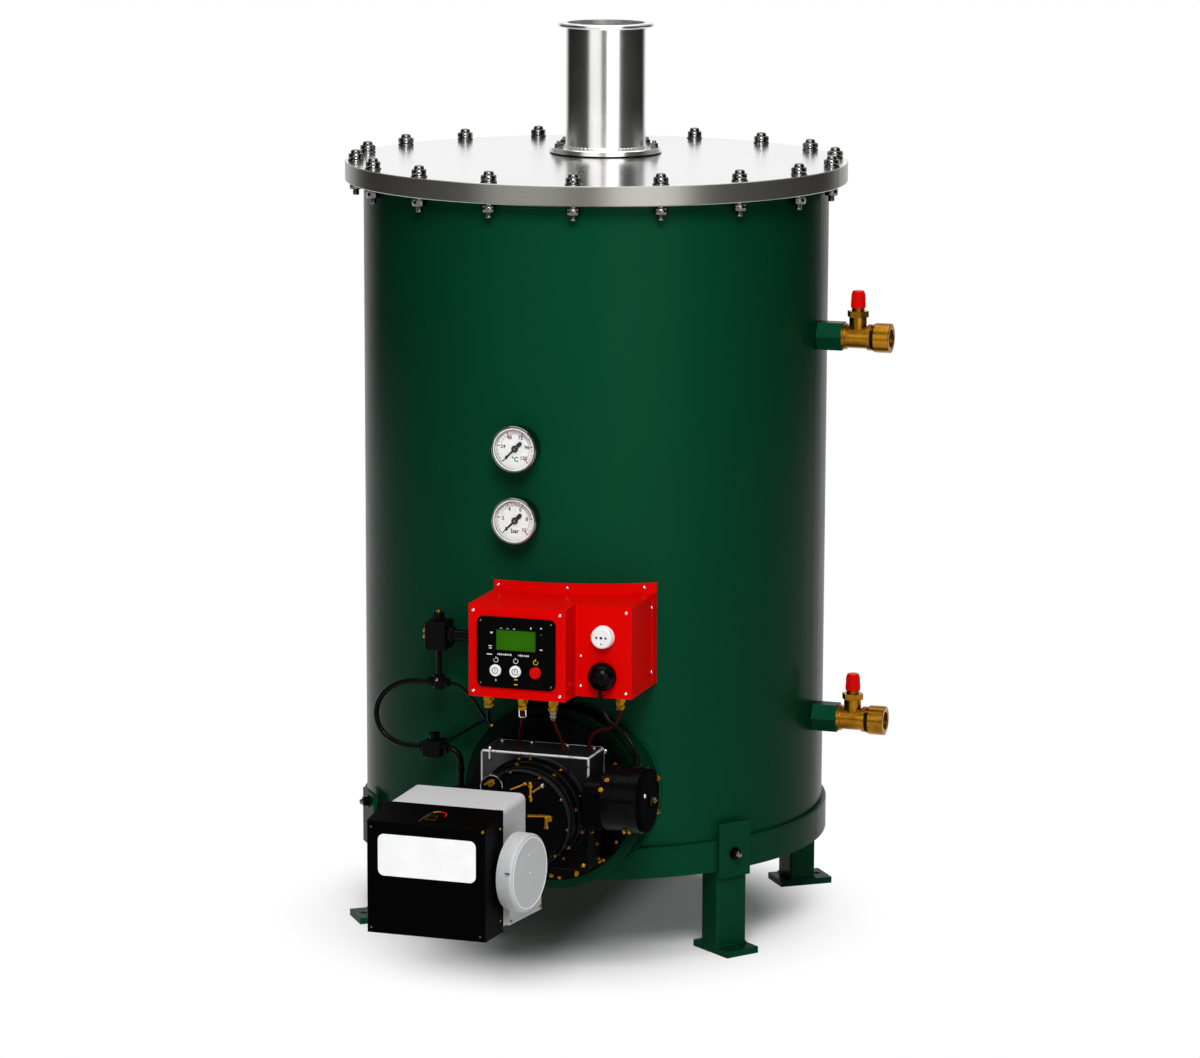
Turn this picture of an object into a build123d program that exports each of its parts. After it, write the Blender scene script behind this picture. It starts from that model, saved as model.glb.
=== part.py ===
"""Fired storage water heater: a bolted-lid tank on four legs, with its burner, controls and valves.

Millimetres, +Z up. The burner faces -Y, and the origin is on the floor under the tank's axis.
Distances called out are measured from the tank's axis towards the front.
"""

from build123d import *
import os

# Clearances
fit = 0.3
overrun = 5.0

# Tank
shell_radius = 430.0
shell_wall = 6.0
shell_height = 1220.0
ground_clearance = 155.0
bottom_thickness = 8.0
bottom_recess = 12.0
band_height = 58.0
band_thickness = 8.0
band_edge_radius = 3.0

# Lid and the flange under it
lid_overhang = 34.0
lid_thickness = 20.0
lid_edge_chamfer = 1.5
flange_thickness = 16.0
lid_bolt_count = 18
lid_bolt_edge_distance = 20.0
lid_bolt_hole_radius = 8.5
lid_bolt_turn = 2.8

# Flue and the smoke tube below it
flue_x = -22.0
flue_y = 122.0
flue_radius = 75.0
flue_wall = 3.0
flue_height = 243.0
flue_collar_width = 15.0
flue_collar_thickness = 8.0
flue_base_width = 29.0
flue_base_thickness = 12.0
smoke_tube_wall = 5.0
smoke_tube_length = 900.0

# Legs
leg_angles = {"front_right": 53.0, "back_right": 127.0, "back_left": -127.0, "front_left": -53.0}
leg_width = 66.0
leg_depth = 50.0
leg_wall = 4.0
leg_corner_radius = 5.0
foot_thickness = 12.0
foot_side_margin = 2.0
foot_inner_margin = 20.0
foot_outer_margin = 34.0
anchor_hole_radius = 7.0
bracket_width = 70.0
bracket_thickness = 7.0
bracket_rise = 90.0
bracket_drop = 12.0

# Gauges
gauge_height = 658.0
gauge_pitch = 129.0
gauge_standoff = 5.0
gauge_depth = 34.0
gauge_case_radius = 39.0
gauge_bezel_radius = 42.0
gauge_bezel_depth = 9.0
gauge_window_radius = 37.5
gauge_window_depth = 10.0
gauge_stem_radius = 9.0
gauge_stem_reach = 8.0
dial_thickness = 1.5
pointer_length = 29.0
pointer_tail = 11.0
pointer_width = 3.2
pointer_tip_width = 0.9
pointer_hub_radius = 4.5
pointer_thickness = 1.2
pointer_angle = 225.0
glass_thickness = 2.0
glass_setback = 1.5

# Control box
box_height_above_shell = 360.0
box_left = -50.0
box_height = 165.0
box_main_width = 181.0
box_main_standoff = 139.0
box_side_width = 103.0
box_side_standoff = 81.0
box_wall = 2.0
box_edge_radius = 4.0
box_lip_height = 18.0
box_lip_thickness = 2.5

# Panel, display and buttons on the control box
panel_width = 146.0
panel_height = 127.0
panel_thickness = 4.0
panel_corner_radius = 12.0
panel_edge_chamfer = 1.0
display_width = 73.0
display_height = 37.0
display_rise = 23.0
display_setback = 1.0
button_radius = 10.5
button_pitch = 37.0
button_drop = 32.0
button_length = 5.0
button_edge_radius = 1.5
signal_cap_radius = 19.0
signal_cap_length = 15.0
signal_cap_edge_radius = 3.0
signal_cap_height_share = 0.667
dome_radius = 26.0
dome_base_radius = 20.0
dome_base_length = 6.0
dome_height_share = 0.24
gland_places_shares = (0.106, 0.33, 0.53, 0.9)
gland_setback = 24.0
gland_hex_radius = 10.0
gland_hex_length = 11.0
gland_nut_radius = 7.5
gland_nut_length = 13.0

# Burner neck on the tank, and the drum round it
burner_x = 72.0
neck_radius = 80.0
neck_wall = 6.0
neck_band_gap = 21.0
neck_reach = 30.0
drum_radius = 168.0
drum_wall = 6.0
drum_plate_thickness = 8.0
drum_standoff = 32.0
drum_edge_radius = 4.0

# Burner body, from the neck outwards
mount_flange_radius = 150.0
mount_flange_thickness = 12.0
mount_box_width = 202.0
mount_box_height = 206.0
mount_box_depth = 88.0
mount_box_edge_radius = 6.0
head_base_radius = 99.0
head_radius = 86.0
head_length = 78.0
head_rib_rise = 3.0
head_rib_width = 6.0
head_rib_count = 3
head_flange_radius = 90.0
head_flange_thickness = 14.0
fan_case_radius = 84.0
fan_case_length = 60.0
fan_case_corner_radius = 26.0
fan_case_side_margin = 8.0

# Burner housing and its front cover
housing_drop = 40.0
housing_width = 208.0
housing_height = 214.0
housing_depth = 130.0
housing_edge_radius = 12.0
cover_width = 214.0
cover_depth = 95.0
cover_top_slope = 12.0
cover_bottom_slope = 5.0
cover_edge_radius = 4.0

# Air intake on the housing's right side
intake_front_width = 16.0
intake_back_width = 34.0
intake_box_depth = 115.0
intake_box_height = 120.0
intake_cover_radius = 68.0
intake_cover_thickness = 30.0
intake_cover_edge_radius = 6.0
intake_cover_setback = 15.0
intake_cover_drop = 2.0

# Fan motor on the mounting box's right side
motor_radius = 59.0
motor_length = 104.0
motor_rise = 35.0
motor_bell_rise = 2.0
motor_bell_length = 20.0
motor_cover_radius = 56.0
motor_cover_thickness = 9.0
motor_cover_edge_radius = 3.0

# Water connections on the right side of the tank
upper_valve_drop = 271.0
lower_valve_height = 235.0
socket_hex_radius = 29.0
socket_length = 46.0
socket_spigot_radius = 20.0
socket_spigot_reach = 8.0
water_way_radius = 13.0
tee_run_radius = 21.0
tee_length = 53.0
tee_collar_radius = 24.0
tee_collar_length = 6.0
tee_branch_radius = 16.0
tee_branch_height = 37.0
tee_branch_bore_radius = 10.0
end_nut_radius = 27.0
end_nut_neck_radius = 23.0
end_nut_length = 36.0
end_nut_cone_length = 8.0
end_nut_bore_radius = 16.5
end_nut_bore_length = 26.0
relief_hex_radius = 20.0
relief_hex_length = 11.0
relief_neck_radius = 11.5
relief_neck_length = 6.0
relief_cap_radius = 13.0
relief_cap_top_radius = 11.5
relief_cap_length = 31.0
relief_cap_edge_radius = 2.0

# Switch, valve and pipework on the left of the burner
side_set_x = -150.0
side_set_standoff = 15.0
side_stem_radius = 9.0
switch_width = 40.0
switch_depth = 44.0
switch_height = 52.0
switch_height_above_shell = 439.0
switch_edge_radius = 5.0
switch_knob_radius = 10.0
switch_knob_length = 14.0
switch_pipe_radius = 11.0
switch_collar_radius = 15.0
switch_collar_length = 9.0
drop_pipe_radius = 5.0
drop_pipe_length = 49.0
drop_tee_radius = 11.0
drop_tee_height = 24.0
fuel_valve_shift = 9.0
fuel_valve_width = 36.0
fuel_valve_depth = 40.0
fuel_valve_height = 30.0
fuel_valve_height_above_shell = 229.0
fuel_valve_edge_radius = 5.0
fuel_valve_knob_radius = 9.0
fuel_valve_knob_length = 13.0
fuel_pipe_radius = 6.0
fuel_pipe_reach = 32.0
fuel_pipe_drop = 84.0
fuel_pipe_bend_radius = 24.0

# Hoses and leads, as routes of (place across, standoff from the tank, height above the tank's bottom edge)
run_share = 0.45
hose_radius = 5.0
hose_loop_route = [
    (-161.3, 15, 351), (-198, 15, 351), (-236, 13, 342), (-266, 9, 316), (-277, 7, 281),
    (-264, 9, 248), (-233, 13, 231), (-205, 15, 229), (-177.3, 15, 229),
]
lead_radius = 3.0
sensor_lead_route = [
    (-138.7, 15, 351), (-118, 15, 351), (-97, 19, 339), (-76, 30, 324), (-58, 50, 311), (-38, 79, 303),
    (-26.2, 102.4, 305.9), (-19.9, 115, 320), (-19.9, 115, 335.8),
]
panel_lead_route = [(100.5, 115, 335.8), (100.5, 115, 315.8), (118, 110, 282.2), (118, 110, 262.2)]
side_lead_route = [
    (205.6, 57, 335.8), (205.6, 57, 321.8), (195, 59.6, 302.8), (162.6, 67.4, 295.2), (152, 70, 276.2),
    (152, 70, 262.2),
]
clip_lead_route = [(43.7, 115, 335.8), (43.7, 115, 313.8), (29, 87, 284.2), (29, 87, 262.2)]
motor_lead_radius = 4.0
motor_lead_route = [
    (182.5, 100, 374.7), (182.5, 100, 361.3), (192.4, 104, 336.7), (210.6, 111.3, 318.4),
    (234, 120.7, 309.4), (252.2, 128, 291.2), (262, 132, 266.6), (262, 132, 253.3),
]

# Levels and radii that follow from the sizes above
shell_inner_radius = shell_radius - shell_wall
shell_bottom = ground_clearance
shell_top = shell_bottom + shell_height
flange_top = shell_top + flange_thickness
lid_top = flange_top + lid_thickness
lid_radius = shell_radius + lid_overhang
lid_bolt_circle_radius = lid_radius - lid_bolt_edge_distance
lid_bolt_first_angle = 180.0 / lid_bolt_count - 90.0 + lid_bolt_turn
band_inner_radius = shell_radius + fit
band_outer_radius = band_inner_radius + band_thickness
flue_bore_radius = flue_radius - flue_wall
gauge_levels = (shell_bottom + gauge_height, shell_bottom + gauge_height + gauge_pitch)
valve_levels = (shell_bottom + lower_valve_height, shell_top - upper_valve_drop)
burner_z = shell_bottom + band_height + neck_band_gap + neck_radius
side_set_out = shell_radius + side_set_standoff

# Distances out from the axis to the burner's joints
drum_front = shell_radius + drum_standoff
mount_flange_front = drum_front + mount_flange_thickness
mount_box_front = mount_flange_front + mount_box_depth
head_front = mount_box_front + head_length
fan_case_front = head_front + fan_case_length
housing_front = fan_case_front + housing_depth
cover_front = housing_front + cover_depth
housing_z = burner_z - housing_drop

os.makedirs("parts", exist_ok=True)


def save(piece, name):
    """Label a finished piece and write it under its node's name."""
    piece.part.label = name
    export_step(piece.part, f"parts/{name}.step")


def turned(plane, outline):
    """Revolve an outline of (along, radius) points about the plane's X axis, into the open part."""
    with BuildSketch(plane) as section:
        with BuildLine():
            Polyline(*outline, close=True)
        make_face()
    revolve(section.sketch, axis=Axis(plane.origin, plane.x_dir))


def cut_tank():
    """Trim the open part to the tank's round wall."""
    with BuildSketch(Plane.XY) as tank_section:
        Circle(shell_radius + fit)
    extrude(tank_section.sketch, amount=lid_top, mode=Mode.SUBTRACT)


def cut_band():
    """Trim the open part to the band round the tank's foot."""
    with BuildSketch(Plane.XY) as band_section:
        Circle(band_outer_radius + fit)
    extrude(band_section.sketch, amount=shell_bottom + band_height + fit, mode=Mode.SUBTRACT)


def placed(route):
    """Points of a cord's route, out from the tank's wall and up from its bottom edge."""
    return [(across, -shell_radius - standoff, shell_bottom + height) for across, standoff, height in route]


def bend_radii(route):
    """Largest radius that each corner of a route allows."""
    points = [Vector(*point) for point in route]
    radii = []
    for before, corner, after in zip(points, points[1:], points[2:]):
        shorter = min((corner - before).length, (after - corner).length)
        turn = (corner - before).get_angle(after - corner)
        ray = Vector(1, 0, 0).rotate(Axis.Z, turn / 2)
        radii.append(run_share * shorter * ray.X / ray.Y)
    return radii


def tube_along(route, radius, name):
    """Sweep a round section along straight runs joined by tangent arcs, into the open part."""
    radii = bend_radii(route)
    print(name, "bend radii:", [round(value) for value in radii])
    with BuildLine() as path:
        FilletPolyline(*route, radius=radii)
    with BuildSketch(Plane(origin=path.line @ 0, z_dir=path.line % 0)) as section:
        Circle(radius)
    sweep(section.sketch, path=path.line)


# Tank

with BuildPart() as tank_shell:
    with BuildSketch(Plane.XY.offset(shell_bottom)):
        Circle(shell_radius)
        Circle(shell_inner_radius, mode=Mode.SUBTRACT)
    extrude(amount=shell_height)
    with BuildSketch(Plane.XZ):
        with Locations((burner_x, burner_z)):
            Circle(neck_radius + fit)
        with Locations(*[(0, level) for level in gauge_levels]):
            Circle(gauge_stem_radius + fit)
    extrude(amount=shell_radius + overrun, mode=Mode.SUBTRACT)
    with BuildSketch(Plane.YZ):
        with Locations(*[(0, level) for level in valve_levels]):
            Circle(socket_spigot_radius + fit)
    extrude(amount=shell_radius + overrun, mode=Mode.SUBTRACT)
save(tank_shell, "tank_shell")

with BuildPart() as tank_bottom:
    with BuildSketch(Plane.XY.offset(shell_bottom + bottom_recess)):
        Circle(shell_inner_radius - fit)
    extrude(amount=bottom_thickness)
save(tank_bottom, "tank_bottom")

with BuildPart() as base_band:
    with BuildSketch(Plane.XY.offset(shell_bottom)):
        Circle(band_outer_radius)
        Circle(band_inner_radius, mode=Mode.SUBTRACT)
    extrude(amount=band_height)
    top_rim = base_band.edges().filter_by(GeomType.CIRCLE).group_by(Axis.Z)[-1].sort_by(SortBy.RADIUS)[-1]
    fillet(top_rim, radius=band_edge_radius)
save(base_band, "base_band")

# Lid and its flange

with BuildPart() as shell_flange:
    with BuildSketch(Plane.XY.offset(shell_top)):
        Circle(lid_radius)
        Circle(shell_inner_radius, mode=Mode.SUBTRACT)
        with PolarLocations(lid_bolt_circle_radius, lid_bolt_count, start_angle=lid_bolt_first_angle):
            Circle(lid_bolt_hole_radius, mode=Mode.SUBTRACT)
    extrude(amount=flange_thickness)
    lower_rim = shell_flange.edges().filter_by(GeomType.CIRCLE).group_by(Axis.Z)[0].sort_by(SortBy.RADIUS)[-1]
    chamfer(lower_rim, length=lid_edge_chamfer)
save(shell_flange, "shell_flange")

with BuildPart() as lid_plate:
    with BuildSketch(Plane.XY.offset(flange_top)):
        Circle(lid_radius)
        with PolarLocations(lid_bolt_circle_radius, lid_bolt_count, start_angle=lid_bolt_first_angle):
            Circle(lid_bolt_hole_radius, mode=Mode.SUBTRACT)
        with Locations((flue_x, flue_y)):
            Circle(flue_radius + fit, mode=Mode.SUBTRACT)
    extrude(amount=lid_thickness)
    upper_rim = lid_plate.edges().filter_by(GeomType.CIRCLE).group_by(Axis.Z)[-1].sort_by(SortBy.RADIUS)[-1]
    chamfer(upper_rim, length=lid_edge_chamfer)
save(lid_plate, "lid_plate")

# Flue

flue_axis_plane = Plane(origin=(flue_x, flue_y, lid_top), x_dir=(0, 0, 1), z_dir=(0, -1, 0))

with BuildPart() as flue_pipe:
    turned(flue_axis_plane, [
        (0, flue_bore_radius),
        (0, flue_radius),
        (flue_height - flue_collar_thickness, flue_radius),
        (flue_height - flue_collar_thickness, flue_radius + flue_collar_width),
        (flue_height, flue_radius + flue_collar_width),
        (flue_height, flue_bore_radius),
    ])
    collar_rims = flue_pipe.edges().filter_by(GeomType.CIRCLE).sort_by(SortBy.RADIUS)[-2:]
    fillet(collar_rims, radius=flue_wall)
save(flue_pipe, "flue_pipe")

with BuildPart() as flue_base_flange:
    turned(flue_axis_plane, [
        (0, flue_radius + fit),
        (0, flue_radius + flue_base_width),
        (flue_base_thickness - lid_edge_chamfer, flue_radius + flue_base_width),
        (flue_base_thickness, flue_radius + flue_base_width - lid_edge_chamfer),
        (flue_base_thickness, flue_radius + fit),
    ])
save(flue_base_flange, "flue_base_flange")

with BuildPart() as smoke_tube:
    with BuildSketch(Plane((flue_x, flue_y, lid_top - smoke_tube_length))):
        Circle(flue_radius)
        Circle(flue_radius - smoke_tube_wall, mode=Mode.SUBTRACT)
    extrude(amount=smoke_tube_length)
save(smoke_tube, "smoke_tube")

# Legs, each a weldment of a foot plate, a tube and the bracket that bolts to the base band

leg_outer_face = band_outer_radius + fit
leg_centre = leg_outer_face - leg_depth / 2
foot_length = foot_inner_margin + leg_depth + foot_outer_margin
foot_centre = leg_outer_face + foot_outer_margin - foot_length / 2
anchor_radius = leg_outer_face + foot_outer_margin / 2

for corner, angle in leg_angles.items():
    leg_plane = Plane(origin=(0, 0, 0), x_dir=Vector(0, -1, 0).rotate(Axis.Z, angle), z_dir=(0, 0, 1))
    with BuildPart() as leg:
        with BuildSketch(leg_plane):
            with Locations((foot_centre, 0)):
                Rectangle(foot_length, leg_width + foot_side_margin * 2)
            with Locations((anchor_radius, 0)):
                Circle(anchor_hole_radius, mode=Mode.SUBTRACT)
        extrude(amount=foot_thickness)
        with BuildSketch(leg_plane.offset(foot_thickness)):
            with Locations((leg_centre, 0)):
                RectangleRounded(leg_depth, leg_width, leg_corner_radius)
                Rectangle(leg_depth - leg_wall * 2, leg_width - leg_wall * 2, mode=Mode.SUBTRACT)
        extrude(amount=shell_bottom - foot_thickness)
        with BuildSketch(leg_plane.offset(shell_bottom - bracket_drop)):
            with Locations((leg_outer_face + bracket_thickness / 2, 0)):
                Rectangle(bracket_thickness, bracket_width)
        extrude(amount=bracket_drop + bracket_rise)
    save(leg, f"leg_{corner}")

# Gauges

gauge_back = shell_radius + gauge_standoff
gauge_front = gauge_back + gauge_depth
dial_back = gauge_front - gauge_window_depth
dial_front = dial_back + dial_thickness

with BuildPart() as gauge_cases:
    for level in gauge_levels:
        gauge_plane = Plane(origin=(0, 0, level), x_dir=(0, -1, 0), z_dir=(1, 0, 0))
        turned(gauge_plane, [
            (shell_inner_radius - gauge_stem_reach, 0),
            (shell_inner_radius - gauge_stem_reach, gauge_stem_radius),
            (gauge_back, gauge_stem_radius),
            (gauge_back, gauge_case_radius),
            (gauge_front - gauge_bezel_depth, gauge_case_radius),
            (gauge_front - gauge_bezel_depth, gauge_bezel_radius),
            (gauge_front, gauge_bezel_radius),
            (gauge_front, gauge_window_radius),
            (dial_back, gauge_window_radius),
            (dial_back, 0),
        ])
    bezel_rims = gauge_cases.edges().filter_by(GeomType.CIRCLE).group_by(SortBy.RADIUS)[-1]
    chamfer(bezel_rims, length=(gauge_bezel_radius - gauge_case_radius) / 2)
save(gauge_cases, "gauge_cases")

with BuildPart() as gauge_dials:
    with BuildSketch(Plane.XZ.offset(dial_back)):
        with Locations(*[(0, level) for level in gauge_levels]):
            Circle(gauge_window_radius - fit)
    extrude(amount=dial_thickness)
save(gauge_dials, "gauge_dials")

with BuildPart() as gauge_pointers:
    pointer_direction = Vector(1, 0, 0).rotate(Axis.Y, -pointer_angle)
    for level in gauge_levels:
        with BuildSketch(Plane(origin=(0, -dial_front, level), x_dir=pointer_direction, z_dir=(0, -1, 0))):
            Circle(pointer_hub_radius)
            with BuildLine():
                Polyline(
                    (-pointer_tail, -pointer_width / 2),
                    (pointer_length, -pointer_tip_width / 2),
                    (pointer_length, pointer_tip_width / 2),
                    (-pointer_tail, pointer_width / 2),
                    close=True,
                )
            make_face()
        extrude(amount=pointer_thickness)
save(gauge_pointers, "gauge_pointers")

with BuildPart() as gauge_glasses:
    with BuildSketch(Plane.XZ.offset(gauge_front - glass_setback)):
        with Locations(*[(0, level) for level in gauge_levels]):
            Circle(gauge_window_radius - fit)
    extrude(amount=-glass_thickness)
save(gauge_glasses, "gauge_glasses")

# Control box, folded from sheet and open at the back against the tank

box_bottom = shell_bottom + box_height_above_shell
box_top = box_bottom + box_height
box_width = box_main_width + box_side_width
box_main_front = shell_radius + box_main_standoff
box_side_front = shell_radius + box_side_standoff
box_step_x = box_left + box_main_width
box_side_x = box_step_x + box_side_width / 2

with BuildPart() as control_box:
    with BuildSketch(Plane.XY.offset(box_bottom)):
        with Locations((box_left, 0)):
            Rectangle(box_main_width, box_main_front, align=(Align.MIN, Align.MAX))
        with Locations((box_step_x, 0)):
            Rectangle(box_side_width, box_side_front, align=(Align.MIN, Align.MAX))
    extrude(amount=box_height)
    upright_edges = control_box.edges().filter_by(Axis.Z)
    front_edges = upright_edges.filter_by(lambda edge: edge.center().Y < -shell_radius)
    fillet(front_edges, radius=box_edge_radius)
    with BuildSketch(Plane.XY.offset(box_bottom + box_wall)):
        with Locations((box_left + box_wall, 0)):
            Rectangle(box_main_width - box_wall * 2, box_main_front - box_wall, align=(Align.MIN, Align.MAX))
        with Locations((box_step_x - box_wall * 2, 0)):
            Rectangle(box_side_width + box_wall, box_side_front - box_wall, align=(Align.MIN, Align.MAX))
    extrude(amount=box_height - box_wall * 2, mode=Mode.SUBTRACT)
    cut_tank()
    with BuildSketch(Plane.XY.offset(box_top - box_wall)):
        Circle(shell_radius + fit + box_lip_thickness)
        Circle(shell_radius + fit, mode=Mode.SUBTRACT)
        with Locations((box_left, 0)):
            Rectangle(box_width, shell_radius * 2, align=(Align.MIN, Align.MAX), mode=Mode.INTERSECT)
    extrude(amount=box_wall + box_lip_height)
save(control_box, "control_box")

panel_x = box_left + box_main_width / 2
panel_z = box_bottom + box_height / 2
display_z = panel_z + display_rise
button_z = panel_z - button_drop

with BuildPart() as control_panel:
    with BuildSketch(Plane.XZ.offset(box_main_front)):
        with Locations((panel_x, panel_z)):
            RectangleRounded(panel_width, panel_height, panel_corner_radius)
        with Locations((panel_x, display_z)):
            Rectangle(display_width + fit * 2, display_height + fit * 2, mode=Mode.SUBTRACT)
    extrude(amount=panel_thickness)
    chamfer(control_panel.faces().sort_by(Axis.Y)[0].outer_wire().edges(), length=panel_edge_chamfer)
save(control_panel, "control_panel")

with BuildPart() as display_screen:
    with BuildSketch(Plane.XZ.offset(box_main_front)):
        with Locations((panel_x, display_z)):
            Rectangle(display_width, display_height)
    extrude(amount=panel_thickness - display_setback)
save(display_screen, "display_screen")

panel_front = box_main_front + panel_thickness

with BuildPart() as panel_buttons:
    with BuildSketch(Plane.XZ.offset(panel_front)):
        with Locations((panel_x - button_pitch, button_z), (panel_x, button_z)):
            Circle(button_radius)
    extrude(amount=button_length)
    fillet(panel_buttons.edges().group_by(Axis.Y)[0], radius=button_edge_radius)
save(panel_buttons, "panel_buttons")

with BuildPart() as stop_button:
    with BuildSketch(Plane.XZ.offset(panel_front)):
        with Locations((panel_x + button_pitch, button_z)):
            Circle(button_radius)
    extrude(amount=button_length)
    fillet(stop_button.edges().group_by(Axis.Y)[0], radius=button_edge_radius)
save(stop_button, "stop_button")

with BuildPart() as signal_cap:
    with BuildSketch(Plane.XZ.offset(box_side_front)):
        with Locations((box_side_x, box_bottom + box_height * signal_cap_height_share)):
            Circle(signal_cap_radius)
    extrude(amount=signal_cap_length)
    fillet(signal_cap.edges().group_by(Axis.Y)[0], radius=signal_cap_edge_radius)
save(signal_cap, "signal_cap")

dome_z = box_bottom + box_height * dome_height_share
dome_plane = Plane(origin=(box_side_x, -box_side_front, dome_z), x_dir=(0, -1, 0), z_dir=(1, 0, 0))

with BuildPart() as cable_dome:
    with BuildSketch(dome_plane):
        with BuildLine():
            foot_line = Polyline((0, 0), (0, dome_base_radius), (dome_base_length, dome_base_radius))
            flare = Line(foot_line @ 1, (dome_base_length, dome_radius))
            crown = CenterArc((dome_base_length, 0), dome_radius, 0, 90)
            Line(crown @ 0, (0, 0))
        make_face()
    revolve(axis=Axis(dome_plane.origin, dome_plane.x_dir))
save(cable_dome, "cable_dome")

with BuildPart() as cable_glands:
    for share in gland_places_shares:
        gland_x = box_left + box_width * share
        gland_front = box_main_front if gland_x < box_step_x else box_side_front
        with BuildSketch(Plane((gland_x, gland_setback - gland_front, box_bottom))):
            RegularPolygon(gland_hex_radius, 6)
        extrude(amount=-gland_hex_length)
        with BuildSketch(Plane((gland_x, gland_setback - gland_front, box_bottom - gland_hex_length))):
            Circle(gland_nut_radius)
        extrude(amount=-gland_nut_length)
save(cable_glands, "cable_glands")

# Burner, from its neck on the tank to the front cover

burner_plane = Plane(origin=(burner_x, 0, burner_z), x_dir=(0, -1, 0), z_dir=(1, 0, 0))

with BuildPart() as burner_neck:
    turned(burner_plane, [
        (shell_radius - drum_radius, drum_radius - drum_wall),
        (shell_radius - drum_radius, drum_radius),
        (drum_front, drum_radius),
        (drum_front, neck_radius - neck_wall),
        (drum_front - drum_plate_thickness, neck_radius - neck_wall),
        (drum_front - drum_plate_thickness, drum_radius - drum_wall),
    ])
    fillet(burner_neck.faces().sort_by(Axis.Y)[0].edges().sort_by(SortBy.RADIUS)[-1], radius=drum_edge_radius)
    cut_tank()
    cut_band()
    turned(burner_plane, [
        (shell_radius - neck_reach, neck_radius - neck_wall),
        (shell_radius - neck_reach, neck_radius),
        (drum_front - drum_plate_thickness, neck_radius),
        (drum_front - drum_plate_thickness, neck_radius - neck_wall),
    ])
save(burner_neck, "burner_neck")

with BuildPart() as burner_mount_box:
    with BuildSketch(Plane.XZ.offset(drum_front)):
        with Locations((burner_x, burner_z)):
            Circle(mount_flange_radius)
    extrude(amount=mount_flange_thickness)
    with BuildSketch(Plane.XZ.offset(mount_flange_front)):
        with Locations((burner_x, burner_z)):
            RectangleRounded(mount_box_width, mount_box_height, mount_box_edge_radius)
    extrude(amount=mount_box_depth)
    chamfer(burner_mount_box.faces().sort_by(Axis.Y)[0].edges(), length=mount_box_edge_radius / 4)
save(burner_mount_box, "burner_mount_box")

head_body_length = head_length - head_flange_thickness
head_taper = (head_base_radius - head_radius) / head_body_length
rib_pitch = head_body_length / head_rib_count

with BuildPart() as burner_head:
    turned(burner_plane, [
        (mount_box_front, 0),
        (mount_box_front, head_base_radius),
        (mount_box_front + head_body_length, head_radius),
        (mount_box_front + head_body_length, 0),
    ])
    for rib in range(head_rib_count):
        rib_along = rib_pitch / 2 + rib * rib_pitch
        with BuildSketch(Plane.XZ.offset(mount_box_front + rib_along - head_rib_width / 2)):
            with Locations((burner_x, burner_z)):
                Circle(head_base_radius - head_taper * rib_along + head_rib_rise)
        extrude(amount=head_rib_width)
save(burner_head, "burner_head")

with BuildPart() as head_flange:
    with BuildSketch(Plane.XZ.offset(head_front - head_flange_thickness)):
        with Locations((burner_x, burner_z)):
            Circle(head_flange_radius)
    extrude(amount=head_flange_thickness)
    chamfer(head_flange.edges().filter_by(GeomType.CIRCLE), length=lid_edge_chamfer)
save(head_flange, "head_flange")

with BuildPart() as fan_case:
    with BuildSketch(Plane.XZ.offset(head_front)):
        with Locations((burner_x, burner_z)):
            Circle(fan_case_radius)
    with BuildSketch(Plane.XZ.offset(fan_case_front)):
        with Locations((0, housing_z)):
            RectangleRounded(
                housing_width - fan_case_side_margin * 2,
                housing_height - fan_case_side_margin * 2,
                fan_case_corner_radius,
            )
    loft()
save(fan_case, "fan_case")

with BuildPart() as burner_housing:
    with BuildSketch(Plane.XZ.offset(fan_case_front)):
        with Locations((0, housing_z)):
            RectangleRounded(housing_width, housing_height, housing_edge_radius)
    extrude(amount=housing_depth)
    fillet(burner_housing.faces().sort_by(Axis.Y)[-1].edges(), radius=housing_edge_radius / 2)
save(burner_housing, "burner_housing")

cover_top = housing_z + housing_height / 2
cover_bottom = housing_z - housing_height / 2

with BuildPart() as burner_front_cover:
    with BuildSketch(Plane.YZ.offset(-cover_width / 2)):
        with BuildLine():
            Polyline(
                (-housing_front, cover_bottom),
                (-cover_front, cover_bottom + cover_bottom_slope),
                (-cover_front, cover_top - cover_top_slope),
                (-housing_front, cover_top),
                close=True,
            )
        make_face()
    extrude(amount=cover_width)
    fillet(burner_front_cover.faces().sort_by(Axis.Y)[0].edges(), radius=cover_edge_radius)
save(burner_front_cover, "burner_front_cover")

# Air intake

intake_x = housing_width / 2
intake_slant = intake_back_width - intake_front_width
intake_face = Plane(
    origin=(intake_x + intake_front_width, -housing_front, housing_z),
    x_dir=(intake_slant, intake_box_depth, 0),
    z_dir=(intake_box_depth, -intake_slant, 0),
)

with BuildPart() as air_intake_box:
    with BuildSketch(Plane.XY.offset(cover_bottom + housing_edge_radius)):
        with BuildLine():
            Polyline(
                (intake_x, -housing_front),
                (intake_x + intake_front_width, -housing_front),
                (intake_x + intake_back_width, intake_box_depth - housing_front),
                (intake_x, intake_box_depth - housing_front),
                close=True,
            )
        make_face()
    extrude(amount=intake_box_height)
    fillet(air_intake_box.faces().sort_by(Axis.X)[-1].edges(), radius=intake_cover_edge_radius / 2)
save(air_intake_box, "air_intake_box")

with BuildPart() as air_intake_cover:
    with BuildSketch(intake_face):
        with Locations((intake_cover_setback, -intake_cover_drop)):
            Circle(intake_cover_radius)
    extrude(amount=intake_cover_thickness)
    cover_disc = air_intake_cover.faces().filter_by(GeomType.PLANE).sort_by(Axis.X)[-1]
    fillet(cover_disc.edges(), radius=intake_cover_edge_radius)
save(air_intake_cover, "air_intake_cover")

# Fan motor

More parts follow.
